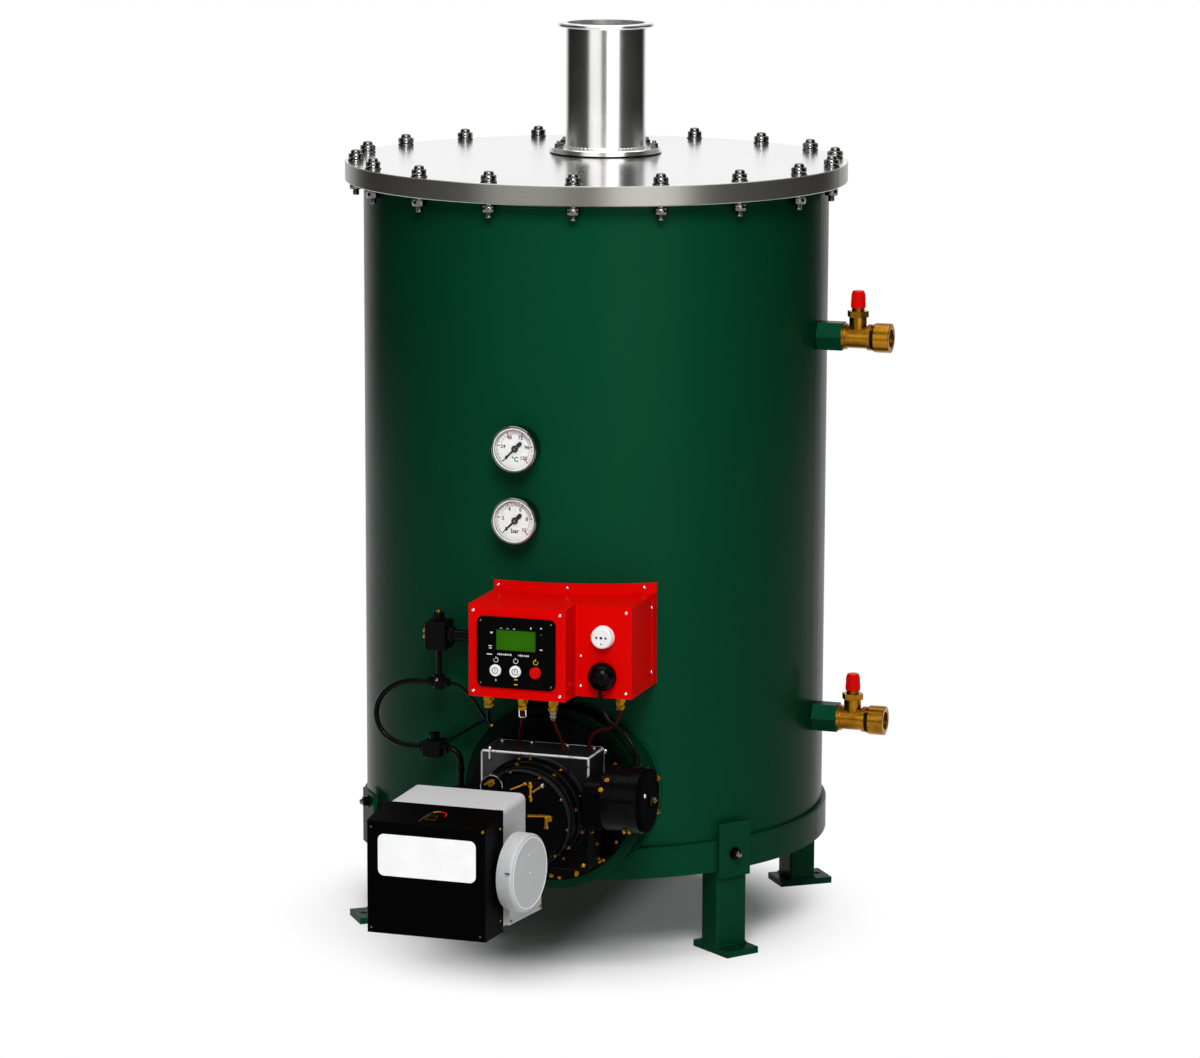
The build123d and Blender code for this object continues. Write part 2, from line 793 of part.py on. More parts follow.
motor_left = burner_x + mount_box_width / 2
motor_right = motor_left + motor_length
motor_z = burner_z + motor_rise
motor_plane = Plane(origin=(motor_left, -mount_box_front, motor_z), x_dir=(1, 0, 0), z_dir=(0, 0, 1))

with BuildPart() as fan_motor:
    turned(motor_plane, [
        (0, 0),
        (0, motor_radius),
        (motor_bell_length, motor_radius),
        (motor_bell_length, motor_radius - motor_bell_rise),
        (motor_length - motor_bell_length, motor_radius - motor_bell_rise),
        (motor_length - motor_bell_length, motor_radius),
        (motor_length, motor_radius),
        (motor_length, 0),
    ])
save(fan_motor, "fan_motor")

with BuildPart() as motor_end_cover:
    with BuildSketch(Plane.YZ.offset(motor_right)):
        with Locations((-mount_box_front, motor_z)):
            Circle(motor_cover_radius)
    extrude(amount=motor_cover_thickness)
    fillet(motor_end_cover.edges().group_by(Axis.X)[-1], radius=motor_cover_edge_radius)
save(motor_end_cover, "motor_end_cover")

# Water connections

tee_start = shell_radius + fit + socket_length
tee_end = tee_start + tee_length
branch_x = tee_start + tee_length / 2

with BuildPart() as pipe_sockets:
    for level in valve_levels:
        with BuildSketch(Plane.YZ.offset(shell_radius + fit)):
            with Locations((0, level)):
                RegularPolygon(socket_hex_radius, 6)
        extrude(amount=socket_length)
        with BuildSketch(Plane.YZ.offset(shell_inner_radius - socket_spigot_reach)):
            with Locations((0, level)):
                Circle(socket_spigot_radius)
        extrude(amount=shell_wall + socket_spigot_reach + fit)
        with BuildSketch(Plane.YZ):
            with Locations((0, level)):
                Circle(water_way_radius)
        extrude(amount=tee_start, mode=Mode.SUBTRACT)
save(pipe_sockets, "pipe_sockets")

with BuildPart() as valve_tees:
    for level in valve_levels:
        run_plane = Plane(origin=(tee_start, 0, level), x_dir=(1, 0, 0), z_dir=(0, -1, 0))
        turned(run_plane, [
            (0, 0),
            (0, tee_collar_radius),
            (tee_collar_length, tee_collar_radius),
            (tee_collar_length, tee_run_radius),
            (tee_length - tee_collar_length, tee_run_radius),
            (tee_length - tee_collar_length, tee_collar_radius),
            (tee_length, tee_collar_radius),
            (tee_length, 0),
        ])
        with BuildSketch(Plane((branch_x, 0, level))):
            Circle(tee_branch_radius)
        extrude(amount=tee_branch_height)
        with BuildSketch(Plane((branch_x, 0, level))):
            Circle(tee_branch_bore_radius)
        extrude(amount=tee_branch_height, mode=Mode.SUBTRACT)
        with BuildSketch(Plane.YZ.offset(tee_start)):
            with Locations((0, level)):
                Circle(water_way_radius)
        extrude(amount=tee_length, mode=Mode.SUBTRACT)
save(valve_tees, "valve_tees")

with BuildPart() as tee_end_nuts:
    for level in valve_levels:
        nut_plane = Plane(origin=(tee_end, 0, level), x_dir=(1, 0, 0), z_dir=(0, -1, 0))
        turned(nut_plane, [
            (0, water_way_radius),
            (0, end_nut_neck_radius),
            (end_nut_cone_length, end_nut_radius),
            (end_nut_length, end_nut_radius),
            (end_nut_length, end_nut_bore_radius),
            (end_nut_length - end_nut_bore_length, end_nut_bore_radius),
            (end_nut_length - end_nut_bore_length, water_way_radius),
        ])
save(tee_end_nuts, "tee_end_nuts")

relief_hex_top = tee_branch_height + relief_hex_length
relief_neck_top = relief_hex_top + relief_neck_length

with BuildPart() as relief_valves:
    for level in valve_levels:
        with BuildSketch(Plane((branch_x, 0, level + tee_branch_height))):
            RegularPolygon(relief_hex_radius, 6)
        extrude(amount=relief_hex_length)
        with BuildSketch(Plane((branch_x, 0, level + relief_hex_top))):
            Circle(relief_neck_radius)
        extrude(amount=relief_neck_length)
save(relief_valves, "relief_valves")

with BuildPart() as relief_caps:
    for level in valve_levels:
        cap_plane = Plane(origin=(branch_x, 0, level + relief_neck_top), x_dir=(0, 0, 1), z_dir=(0, -1, 0))
        turned(cap_plane, [
            (0, 0),
            (0, relief_cap_radius),
            (relief_cap_length - relief_cap_edge_radius, relief_cap_top_radius),
            (relief_cap_length, relief_cap_top_radius - relief_cap_edge_radius),
            (relief_cap_length, 0),
        ])
save(relief_caps, "relief_caps")

# Pressure switch on the left of the control box

switch_z = shell_bottom + switch_height_above_shell
switch_right = side_set_x + switch_width / 2

with BuildPart() as pressure_switch:
    with BuildSketch(Plane.XZ.offset(side_set_out - switch_depth / 2)):
        with Locations((side_set_x, switch_z)):
            RectangleRounded(switch_width, switch_height, switch_edge_radius)
    extrude(amount=switch_depth)
    fillet(pressure_switch.faces().sort_by(Axis.Y)[0].edges(), radius=switch_edge_radius / 2)
    with BuildSketch(Plane.XZ):
        with Locations((side_set_x, switch_z)):
            Circle(side_stem_radius)
    extrude(amount=side_set_out)
    with BuildSketch(Plane((side_set_x, -side_set_out, switch_z + switch_height / 2))):
        Circle(switch_knob_radius)
    extrude(amount=switch_knob_length)
    cut_tank()
save(pressure_switch, "pressure_switch")

with BuildPart() as switch_pipe:
    pipe_plane = Plane(origin=(switch_right, -side_set_out, switch_z), x_dir=(1, 0, 0), z_dir=(0, -1, 0))
    pipe_length = box_left - switch_right
    turned(pipe_plane, [
        (0, 0),
        (0, switch_collar_radius),
        (switch_collar_length, switch_collar_radius),
        (switch_collar_length, switch_pipe_radius),
        (pipe_length - switch_collar_length, switch_pipe_radius),
        (pipe_length - switch_collar_length, switch_collar_radius),
        (pipe_length, switch_collar_radius),
        (pipe_length, 0),
    ])
save(switch_pipe, "switch_pipe")

switch_bottom = switch_z - switch_height / 2

with BuildPart() as drop_pipe:
    with BuildSketch(Plane((side_set_x, -side_set_out, switch_bottom))):
        Circle(drop_pipe_radius)
    extrude(amount=-drop_pipe_length)
    with BuildSketch(Plane((side_set_x, -side_set_out, switch_bottom - drop_pipe_length))):
        Circle(drop_tee_radius)
    extrude(amount=-drop_tee_height)
save(drop_pipe, "drop_pipe")

# Fuel valve and its pipe to the burner

fuel_valve_z = shell_bottom + fuel_valve_height_above_shell
fuel_valve_x = side_set_x - fuel_valve_shift

with BuildPart() as fuel_valve:
    with BuildSketch(Plane.XZ.offset(side_set_out - fuel_valve_depth / 2)):
        with Locations((fuel_valve_x, fuel_valve_z)):
            RectangleRounded(fuel_valve_width, fuel_valve_height, fuel_valve_edge_radius)
    extrude(amount=fuel_valve_depth)
    fillet(fuel_valve.faces().sort_by(Axis.Y)[0].edges(), radius=fuel_valve_edge_radius / 2)
    with BuildSketch(Plane.XZ):
        with Locations((fuel_valve_x, fuel_valve_z)):
            Circle(side_stem_radius)
    extrude(amount=side_set_out)
    with BuildSketch(Plane((fuel_valve_x, -side_set_out, fuel_valve_z + fuel_valve_height / 2))):
        Circle(fuel_valve_knob_radius)
    extrude(amount=fuel_valve_knob_length)
    cut_tank()
save(fuel_valve, "fuel_valve")

fuel_pipe_start = fuel_valve_x + fuel_valve_width / 2
fuel_pipe_turn = fuel_pipe_start + fuel_pipe_reach
fuel_pipe_low = fuel_valve_z - fuel_pipe_drop
fuel_pipe_out = mount_box_front - mount_box_depth / 2

with BuildPart() as fuel_pipe:
    with BuildLine() as fuel_route:
        FilletPolyline(
            (fuel_pipe_start, -side_set_out, fuel_valve_z),
            (fuel_pipe_turn, -side_set_out, fuel_valve_z),
            (fuel_pipe_turn, -side_set_out, fuel_pipe_low),
            (fuel_pipe_turn, -fuel_pipe_out, fuel_pipe_low),
            (burner_x - mount_box_width / 2, -fuel_pipe_out, fuel_pipe_low),
            radius=fuel_pipe_bend_radius,
        )
    with BuildSketch(Plane(origin=fuel_route.line @ 0, z_dir=fuel_route.line % 0)):
        Circle(fuel_pipe_radius)
    sweep(path=fuel_route.line)
save(fuel_pipe, "fuel_pipe")

# Hose and leads

with BuildPart() as hose_loop:
    tube_along(placed(hose_loop_route), hose_radius, "hose_loop")
save(hose_loop, "hose_loop")

with BuildPart() as sensor_lead:
    tube_along(placed(sensor_lead_route), lead_radius, "sensor_lead")
save(sensor_lead, "sensor_lead")

with BuildPart() as burner_leads:
    tube_along(placed(panel_lead_route), lead_radius, "panel_lead")
    tube_along(placed(side_lead_route), lead_radius, "side_lead")
    tube_along(placed(clip_lead_route), lead_radius, "clip_lead")
save(burner_leads, "burner_leads")

with BuildPart() as motor_lead:
    tube_along(placed(motor_lead_route), motor_lead_radius, "motor_lead")
save(motor_lead, "motor_lead")
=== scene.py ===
"""Looks of a fired storage water heater: finishes for its CAD nodes, fasteners, markings and a studio.

Metres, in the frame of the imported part: +Z up, the burner towards -Y and the floor at zero.
"""

from math import cos, pi, radians, sin, sqrt, tan

import bmesh
import bpy
from bpy.props import FloatProperty, FloatVectorProperty, IntProperty, PointerProperty
from mathutils import Matrix, Vector


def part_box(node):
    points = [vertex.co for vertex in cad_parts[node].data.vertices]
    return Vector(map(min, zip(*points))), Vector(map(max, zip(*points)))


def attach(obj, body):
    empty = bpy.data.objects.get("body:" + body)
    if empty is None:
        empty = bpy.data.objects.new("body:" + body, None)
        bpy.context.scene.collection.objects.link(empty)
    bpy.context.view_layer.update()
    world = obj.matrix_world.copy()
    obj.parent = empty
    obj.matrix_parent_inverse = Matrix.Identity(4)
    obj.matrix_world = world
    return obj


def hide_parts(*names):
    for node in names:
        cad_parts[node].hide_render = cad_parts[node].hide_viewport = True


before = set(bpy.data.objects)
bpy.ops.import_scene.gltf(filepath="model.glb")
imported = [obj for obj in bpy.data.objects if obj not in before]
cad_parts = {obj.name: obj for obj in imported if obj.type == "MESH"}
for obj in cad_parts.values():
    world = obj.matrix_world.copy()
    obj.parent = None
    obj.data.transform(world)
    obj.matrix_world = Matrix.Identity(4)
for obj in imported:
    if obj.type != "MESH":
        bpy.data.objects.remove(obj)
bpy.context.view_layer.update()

bl_info = {
    "name": "Storage water heater looks",
    "version": (1, 0, 0),
    "blender": (4, 5, 0),
    "location": "View3D > Sidebar > Water heater",
    "description": "Finishes, fasteners, markings and studio for a fired storage water heater",
    "category": "Object",
}

FRONT = (0.0, -1.0, 0.0)
RIGHT = (1.0, 0.0, 0.0)
LEFT = (-1.0, 0.0, 0.0)
UP = (0.0, 0.0, 1.0)
DOWN = (0.0, 0.0, -1.0)

# Axis of the burner
BURNER_X = 0.072
BURNER_Z = 0.314

# How far the burner's flange and mounting box stand out from the tank's axis
FLANGE_OUT = 0.474
MOUNT_OUT = 0.562

# Axis of the fan motor, plane of the left side's pipes and places of the fittings on it
MOTOR_Y = -0.562
MOTOR_Z = 0.349
SIDE_Y = -0.445
SWITCH_X = -0.15
SWITCH_Z = 0.594
SIDE_TEE_Z = 0.506
FUEL_VALVE_Z = 0.384

# Radii of the lid, the control box's lip on the tank, the flue and the neck's drum
LID_RADIUS = 0.464
LIP_RADIUS = 0.4328
FLUE_RADIUS = 0.075
DRUM_RADIUS = 0.1684

# Heights of the two valve tees, and bearings of the legs in degrees from the front
TEE_LEVELS = (0.39, 1.104)
LEG_ANGLES = {"front_right": 53.0, "back_right": 127.0, "back_left": -127.0, "front_left": -53.0}

# Ends of a lathed or stacked shape that are left open
OPEN = (False, False)


# Settings

def size(label, text, default):
    """A length that a user may change."""
    return FloatProperty(
        name=label, description=text, default=default, min=0.0, precision=4, unit="LENGTH", subtype="DISTANCE"
    )


def tint(label, text, default):
    """A colour that a user may change."""
    return FloatVectorProperty(
        name=label, description=text, default=default, size=3, min=0.0, max=1.0, subtype="COLOR"
    )


def portion(label, text, default):
    """A share between nothing and all that a user may change."""
    return FloatProperty(name=label, description=text, default=default, min=0.0, max=1.0, subtype="FACTOR")


def number(label, text, default):
    """A count that a user may change."""
    return IntProperty(name=label, description=text, default=default, min=1)


def bearing(label, text, degrees):
    """An angle that a user may change."""
    return FloatProperty(name=label, description=text, default=radians(degrees), subtype="ANGLE")


def brightness(label, text, default):
    """A lamp's level that a user may change."""
    return FloatProperty(name=label, description=text, default=default)


class HeaterPaint(bpy.types.PropertyGroup):
    """Painted and enamelled finishes."""

    tank_green: tint("Tank green", "Satin enamel of the tank, legs and sockets", (0.0016, 0.053, 0.022))
    tank_roughness: portion("Tank roughness", "How satin the tank's enamel is", 0.26)
    peel: size("Orange peel", "Depth of the ripple in sprayed enamel", 0.00006)
    box_red: tint("Box red", "Gloss enamel of the control box", (0.69, 0.0011, 0.0006))
    housing_grey: tint("Housing grey", "Enamel of the burner's housing and air intake", (0.5, 0.503, 0.51))
    casting_black: tint("Casting black", "Stove enamel of the burner's castings", (0.0018, 0.0018, 0.0019))
    # Laid on the mounting box only high on its front and fading out downwards: painted reflection and shade
    casting_grey: tint("Casting grey", "Raw aluminium of the mounting box", (0.046, 0.0465, 0.047))
    bare_edge: tint("Bare edge", "Metal where a casting's edge has worn bright", (0.66, 0.66, 0.67))


class HeaterMetal(bpy.types.PropertyGroup):
    """Bare metal finishes."""

    lid_tone: tint("Lid steel", "Ground plate of the lid's top", (0.82, 0.82, 0.825))
    # Darker and warmer than the top: painted reflection of dark, warm surroundings on the turned rim
    rim_tone_with_painted_shade: tint("Rim steel", "Turned rim of the lid and flange", (0.33, 0.323, 0.29))
    flue_tone: tint("Flue steel", "Polished sheet of the flue", (0.9, 0.895, 0.875))
    nut_tone: tint("Nut steel", "Plated nuts, studs and washers", (0.16, 0.16, 0.156))
    screw_tone: tint("Screw steel", "Bright small screws, clips and rods", (0.72, 0.72, 0.73))
    brass_bright: tint("Bright brass", "Handled brass", (0.42, 0.19, 0.012))
    brass_dull: tint("Dull brass", "Tarnish in the hollows of brass", (0.07, 0.025, 0.0015))
    bezel_tone: tint("Bezel steel", "Cases of the gauges", (0.2, 0.192, 0.178))
    soot: tint("Soot", "Inside of the smoke tube", (0.022, 0.02, 0.019))


class HeaterPlastic(bpy.types.PropertyGroup):
    """Plastic, rubber and printed finishes."""

    panel_black: tint("Panel black", "Gloss front of the control panel", (0.0016, 0.0016, 0.0018))
    screen_green: tint("Screen green", "Lit display", (0.019, 0.105, 0.0004))
    button_white: tint("Button white", "White buttons and signal cap", (0.82, 0.82, 0.82))
    button_red: tint("Button red", "Stop button and relief caps", (0.6, 0.003, 0.002))
    cover_black: tint("Cover black", "Moulded front cover of the burner", (0.0012, 0.0012, 0.0012))
    plate_white: tint("Plate white", "Bare plate on the front cover", (0.9, 0.9, 0.9))
    cord_black: tint("Cord black", "Rubber hose and leads", (0.0018, 0.0018, 0.002))
    lead_red: tint("Lead red", "Silicone burner leads", (0.034, 0.0007, 0.0022))
    mark_white: tint("Mark white", "White print on the panel", (0.74, 0.75, 0.76))
    mark_yellow: tint("Mark yellow", "Yellow print and clip", (0.78, 0.56, 0.03))
    dial_white: tint("Dial white", "Face of a gauge", (0.87, 0.87, 0.86))
    dial_ink: tint("Dial ink", "Black print on a gauge", (0.012, 0.012, 0.013))
    dial_red: tint("Dial red", "Red print on a gauge", (0.62, 0.05, 0.07))


class HeaterLid(bpy.types.PropertyGroup):
    """Studs and nuts of the lid."""

    stud_count: number("Studs", "Studs round the lid", 18)
    edge_distance: size("Edge distance", "From the lid's rim to the middle of a stud", 0.02)
    turn: bearing("Turn", "Angle from the front to the first stud's seat", 12.8)
    washer_radius: size("Washer radius", "Outside of an upper washer", 0.015)
    washer_thickness: size("Washer thickness", "Height of an upper washer", 0.0025)
    nut_flats: size("Nut across flats", "Width of an upper cap nut", 0.0255)
    nut_height: size("Nut height", "Height of an upper cap nut's hexagon", 0.011)
    cap_radius: size("Cap radius", "Round cap of an upper nut", 0.0092)
    cap_height: size("Cap height", "Round cap of an upper nut", 0.007)
    neck_radius: size("Neck radius", "Plain stud between the flange and a lower nut", 0.008)
    neck_length: size("Neck length", "Plain stud between the flange and a lower nut", 0.0045)
    lower_flats: size("Lower nut across flats", "Width of a nut under the flange", 0.0225)
    lower_height: size("Lower nut height", "Height of a nut under the flange", 0.012)
    stud_radius: size("Stud radius", "Thread of a stud under the flange", 0.0062)
    stud_rise: size("Stud rise", "Stud that shows past a lower nut", 0.011)


class HeaterFlue(bpy.types.PropertyGroup):
    """Bolts of the flue's base."""

    bolt_circle: size("Bolt circle radius", "From the flue's axis to a base bolt", 0.0925)
    bolt_flats: size("Bolt across flats", "Width of a base bolt's head", 0.013)
    bolt_height: size("Bolt height", "Height of a base bolt's head", 0.0065)


class HeaterGauges(bpy.types.PropertyGroup):
    """Print on the two dials."""

    scale_radius: size("Scale radius", "Outer ends of the scale's strokes", 0.0335)
    long_stroke: size("Long stroke", "Length of a numbered stroke", 0.0052)
    short_stroke: size("Short stroke", "Length of a stroke between numbers", 0.0026)
    digit_height: size("Digit height", "Height of the scale's numbers", 0.0066)
    divisions: number("Divisions", "Numbered steps on a scale", 10)
    sweep: bearing("Sweep", "Angle of the scale from first to last stroke", 270.0)


class HeaterControls(bpy.types.PropertyGroup):
    """Screws and marks of the control box."""

    screw_radius: size("Screw radius", "Domed screws of the control box", 0.0029)
    screw_height: size("Screw height", "Height of a domed screw", 0.0018)
    corner_inset: size("Corner inset", "From the box's corners to its screws", 0.01)
    print_rise: size("Print rise", "Thickness of printed marks", 0.0002)


class HeaterBurner(bpy.types.PropertyGroup):
    """Screws and fittings of the burner."""

    brass_screw_radius: size("Brass screw radius", "Brass screws round the burner's castings", 0.004)
    brass_screw_height: size("Brass screw height", "Height of a brass screw's head", 0.0042)
    plate_width: size("Plate width", "Bare white plate on the front cover", 0.177)
    plate_height: size("Plate height", "Bare white plate on the front cover", 0.073)
    plate_corner: size("Plate corner", "Corner radius of the plate", 0.011)


class HeaterStage(bpy.types.PropertyGroup):
    """Camera, floor and light."""

    focal_length: FloatProperty(
        name="Focal length", description="Lens of the camera", default=133.8,
        unit="CAMERA", subtype="DISTANCE"
    )
    floor_radius: size("Floor radius", "Round pale floor", 6.0)
    floor_tone: tint("Floor tone", "Pale floor", (0.86, 0.86, 0.86))
    left_level: brightness("Left softbox", "Brightness of the left softbox", 1.1)
    right_level: brightness("Right softbox", "Brightness of the right softbox", 1.8)
    top_level: brightness("Top softbox", "Brightness of the softbox overhead", 1.8)
    key_level: brightness("Key softbox", "Brightness of the softbox above the camera", 16.2)


# Shader building

def math_method(operation, swapped=False):
    """A method of Wire that adds one Math node, with its terms swapped for a right-hand operator."""

    def method(wire, *others):
        terms = (*others, wire) if swapped else (wire, *others)
        return wire.nodes.add("ShaderNodeMath", {"operation": operation}, dict(enumerate(terms)))

    return method


class Wire:
    """A shader socket that Python's sums work on: each operator adds its Math node."""

    def __init__(self, nodes, socket):
        self.nodes = nodes
        self.socket = socket

    __add__ = math_method("ADD")
    __radd__ = math_method("ADD", True)
    __sub__ = math_method("SUBTRACT")
    __rsub__ = math_method("SUBTRACT", True)
    __mul__ = math_method("MULTIPLY")
    __rmul__ = math_method("MULTIPLY", True)
    __pow__ = math_method("POWER")
    __abs__ = math_method("ABSOLUTE")
    __gt__ = math_method("GREATER_THAN")
    __lt__ = math_method("LESS_THAN")
    most = math_method("MAXIMUM")
    least = math_method("MINIMUM")
    fraction = math_method("FRACT")


class Nodes:
    """A node tree being wired."""

    def __init__(self, tree):
        self.tree = tree
        self.tree.nodes.clear()

    def add(self, kind, settings=None, inputs=None, output=0):
        """Any node: its type, its settings, then the values or links of its sockets."""
        made = self.tree.nodes.new(kind)
        for key, value in (settings or {}).items():
            setattr(made, key, value)
        for key, value in (inputs or {}).items():
            if isinstance(value, Wire):
                self.tree.links.new(value.socket, made.inputs[key])
            else:
                made.inputs[key].default_value = value
        return Wire(self, made.outputs[output]) if made.outputs else None

    def spot(self):
        """Place on the object in metres."""
        return self.add("ShaderNodeTexCoord", output="Object")

    def axes(self, spot=None):
        """The three coordinates of a place, each on its own."""
        split = self.add("ShaderNodeSeparateXYZ", inputs={0: spot or self.spot()})
        return [Wire(self, socket) for socket in split.socket.node.outputs]

    def noise(self, scale, detail, stretch=None):
        """Soft random value, with grain drawn out along an axis whose stretch is small."""
        spot = self.spot()
        if stretch:
            spot = self.add("ShaderNodeVectorMath", {"operation": "MULTIPLY"}, {0: spot, 1: stretch})
        return self.add("ShaderNodeTexNoise", None, {"Vector": spot, "Scale": scale, "Detail": detail})

    def step(self, value, low, high):
        """Smooth step of a value from nothing at low to all at high."""
        return self.add(
            "ShaderNodeMapRange", {"interpolation_type": "SMOOTHSTEP"},
            {"Value": value, "From Min": low, "From Max": high},
        )

    def blend(self, first, second, share):
        """One colour over another by a share."""
        return self.add("ShaderNodeMix", {"data_type": "RGBA"}, {0: share, 6: first, 7: second}, output=2)

    def bump(self, height, depth):
        """Surface normal of a height map of that depth."""
        return self.add("ShaderNodeBump", None, {"Height": height, "Distance": depth})

    def rays(self, kind):
        """One for rays of a kind, such as those that leave the camera."""
        return self.add("ShaderNodeLightPath", output=kind)

    def finish(self, sockets):
        """Close the tree with one Principled shader."""
        shader = self.add("ShaderNodeBsdfPrincipled", None, sockets)
        self.add("ShaderNodeOutputMaterial", None, {"Surface": shader})


def shade(colour, level=1.0):
    """A colour made lighter or darker, with full alpha."""
    return tuple(min(1.0, value * level) for value in colour[:3]) + (1.0,)


def edge_mask(nodes, low, high, width):
    """One near the outer edges of the box between two corners."""
    reach = []
    for spot, first, last in zip(nodes.axes(), low, high):
        reach.append(abs(spot - (first + last) / 2) - (last - first) / 2)
    pairs = reach[0].least(reach[1]).most(reach[1].least(reach[2])).most(reach[0].least(reach[2]))
    return nodes.step(pairs, -width, -width * 0.4)


# Finishes

def enamel(nodes, colour, roughness, ripple, specular, painted_edge_shade=0.0, second=None, wear=None, bare=None):
    """Sprayed enamel with faint mottling and so many times the usual ripple.

    Painted shade darkens it where it turns away from the view, standing in for light falling off there; a
    second colour lies over it by a share, and wear bares it.
    """
    base = nodes.blend(shade(colour, 0.93), shade(colour, 1.07), nodes.noise(2.6, 4.0))
    # Painted shade: darker where the surface turns away from the view, as light falls off towards the sides
    if painted_edge_shade:
        turned_away = nodes.add("ShaderNodeLayerWeight", None, {"Blend": 0.5}, "Facing")
        base = nodes.blend(base, shade(colour, 1.0 - painted_edge_shade), turned_away ** 0.7)
    if second:
        over, share = second
        mottled = nodes.blend(shade(over, 0.85), shade(over, 1.15), nodes.noise(30.0, 4.0))
        base = nodes.blend(base, mottled, share)
    depth = bpy.context.scene.heater_paint.peel * ripple
    sockets = {
        "Roughness": roughness - 0.05 + 0.1 * nodes.noise(7.0, 3.0),
        "Specular IOR Level": specular,
        "Normal": nodes.bump(nodes.noise(330.0, 2.0), depth),
    }
    if wear:
        worn = wear * nodes.step(nodes.noise(70.0, 3.0), 0.25, 0.45)
        base = nodes.blend(base, shade(bare), worn)
        sockets["Metallic"] = 0.3 * worn
    sockets["Base Color"] = base
    nodes.finish(sockets)


def metal(nodes, tone, roughness, grain, depth, spread):
    """Bare metal with a drawn grain in its tone, its gloss and its surface."""
    lines = nodes.noise(1.0, 5.0, stretch=grain)
    cloud = nodes.noise(5.0, 3.0)
    nodes.finish({
        "Base Color": nodes.blend(shade(tone, 1.0 - spread), shade(tone, 1.0 + spread), lines),
        "Metallic": 1.0,
        "Roughness": roughness - 0.03 + 0.05 * lines + 0.04 * cloud,
        "Normal": nodes.bump(lines, depth),
    })


def moulded(nodes, colour, roughness, grain=900.0, depth=0.00002, specular=0.12):
    """Moulded plastic or rubber with a fine grain and soft smears of handling."""
    fine = nodes.noise(grain, 2.0)
    smear = nodes.noise(24.0, 3.0)
    nodes.finish({
        "Base Color": nodes.blend(shade(colour, 0.92), shade(colour, 1.08), smear),
        "Roughness": roughness - 0.06 + 0.12 * smear,
        "Specular IOR Level": specular,
        "Normal": nodes.bump(fine, depth),
    })


def green_enamel(nodes, scene):
    """Satin enamel of the tank."""
    paint = scene.heater_paint
    # The last value darkens the tank where it turns from the view: painted shade for light falling off
    # towards its sides
    enamel(nodes, paint.tank_green, paint.tank_roughness, 1.0, 0.025, 0.76)


def scorched_enamel(nodes, scene):
    """The tank's green with painted shade: near black at the front of the neck and from z 0.2 upwards, under
    the control box.
    """
    paint = scene.heater_paint
    _, along, height = nodes.axes()
    # Painted shade: casting black over the neck's front and upper part, where the control box shades it
    painted_shade = 0.9 * nodes.step(0.0 - along, 0.425, 0.452) * nodes.step(height, 0.2, 0.29)
    enamel(nodes, paint.tank_green, paint.tank_roughness, 1.0, 0.02, 0.76, (paint.casting_black, painted_shade))


def edged_enamel(nodes, scene):
    """Grey housing with bright lines along its edges."""
    wear = 0.6 * edge_mask(nodes, *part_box("burner_housing"), 0.003)
    enamel(nodes, scene.heater_paint.housing_grey, 0.42, 0.6, 0.2, wear=wear, bare=(0.9, 0.9, 0.91))


def worn_casting(nodes, scene):
    """Cast box on its black flange, with painted light: grey high on its front fading to black below is
    painted reflection and shade, its black top is painted shadow under the control box, and its worn bright
    edges are kept to the upper part, where they also stand as a painted highlight.
    """
    paint = scene.heater_paint
    box = (-0.029, -MOUNT_OUT, 0.211), (0.173, -FLANGE_OUT, 0.417)
    across, along, height = nodes.axes()
    on_box = nodes.step(0.0 - along, FLANGE_OUT + 0.0003, FLANGE_OUT + 0.0007)
    # Painted shadow: the top face, under the control box, goes black; most of the box right of x 0.04 goes
    # black too
    black = (0.85 * nodes.step(height, 0.4155, 0.4168)).most(0.85 * nodes.step(across, 0.005, 0.04))
    # Painted reflection and shade: the grey shows from z 0.3 upwards and fades to black below
    bare = on_box * nodes.step(height, 0.3, 0.405) * (1.0 - black)
    # Worn bright edges, kept to the upper edges above z 0.29, where they also stand as a painted highlight
    wear = on_box * edge_mask(nodes, *box, 0.0042) * nodes.step(height, 0.29, 0.34)
    grey = (paint.casting_grey, bare)
    enamel(nodes, paint.casting_black, 0.34, 3.0, 0.03, second=grey, wear=wear, bare=paint.bare_edge)


def worn_rings(nodes, scene):
    """Black head whose turned rims have worn bright."""
    paint = scene.heater_paint
    across, along, height = nodes.axes()
    radius = ((across - BURNER_X) ** 2.0 + (height - BURNER_Z) ** 2.0) ** 0.5
    out = 0.0 - along
    flange_rim = 0.02 * nodes.step(radius, 0.088, 0.0888) * (out > 0.6262)
    foot_rim = 0.05 * (1.0 - nodes.step(out, 0.5636, 0.5652))
    cone = 0.099 - (out - MOUNT_OUT) * (0.013 / 0.064)
    ribs = 0.01 * nodes.step(radius - cone, 0.0016, 0.0024) * (out < 0.6258)
    wear = flange_rim.most(foot_rim).most(ribs)
    enamel(nodes, paint.casting_black, 0.22, 2.0, 0.014, wear=wear, bare=paint.bare_edge)


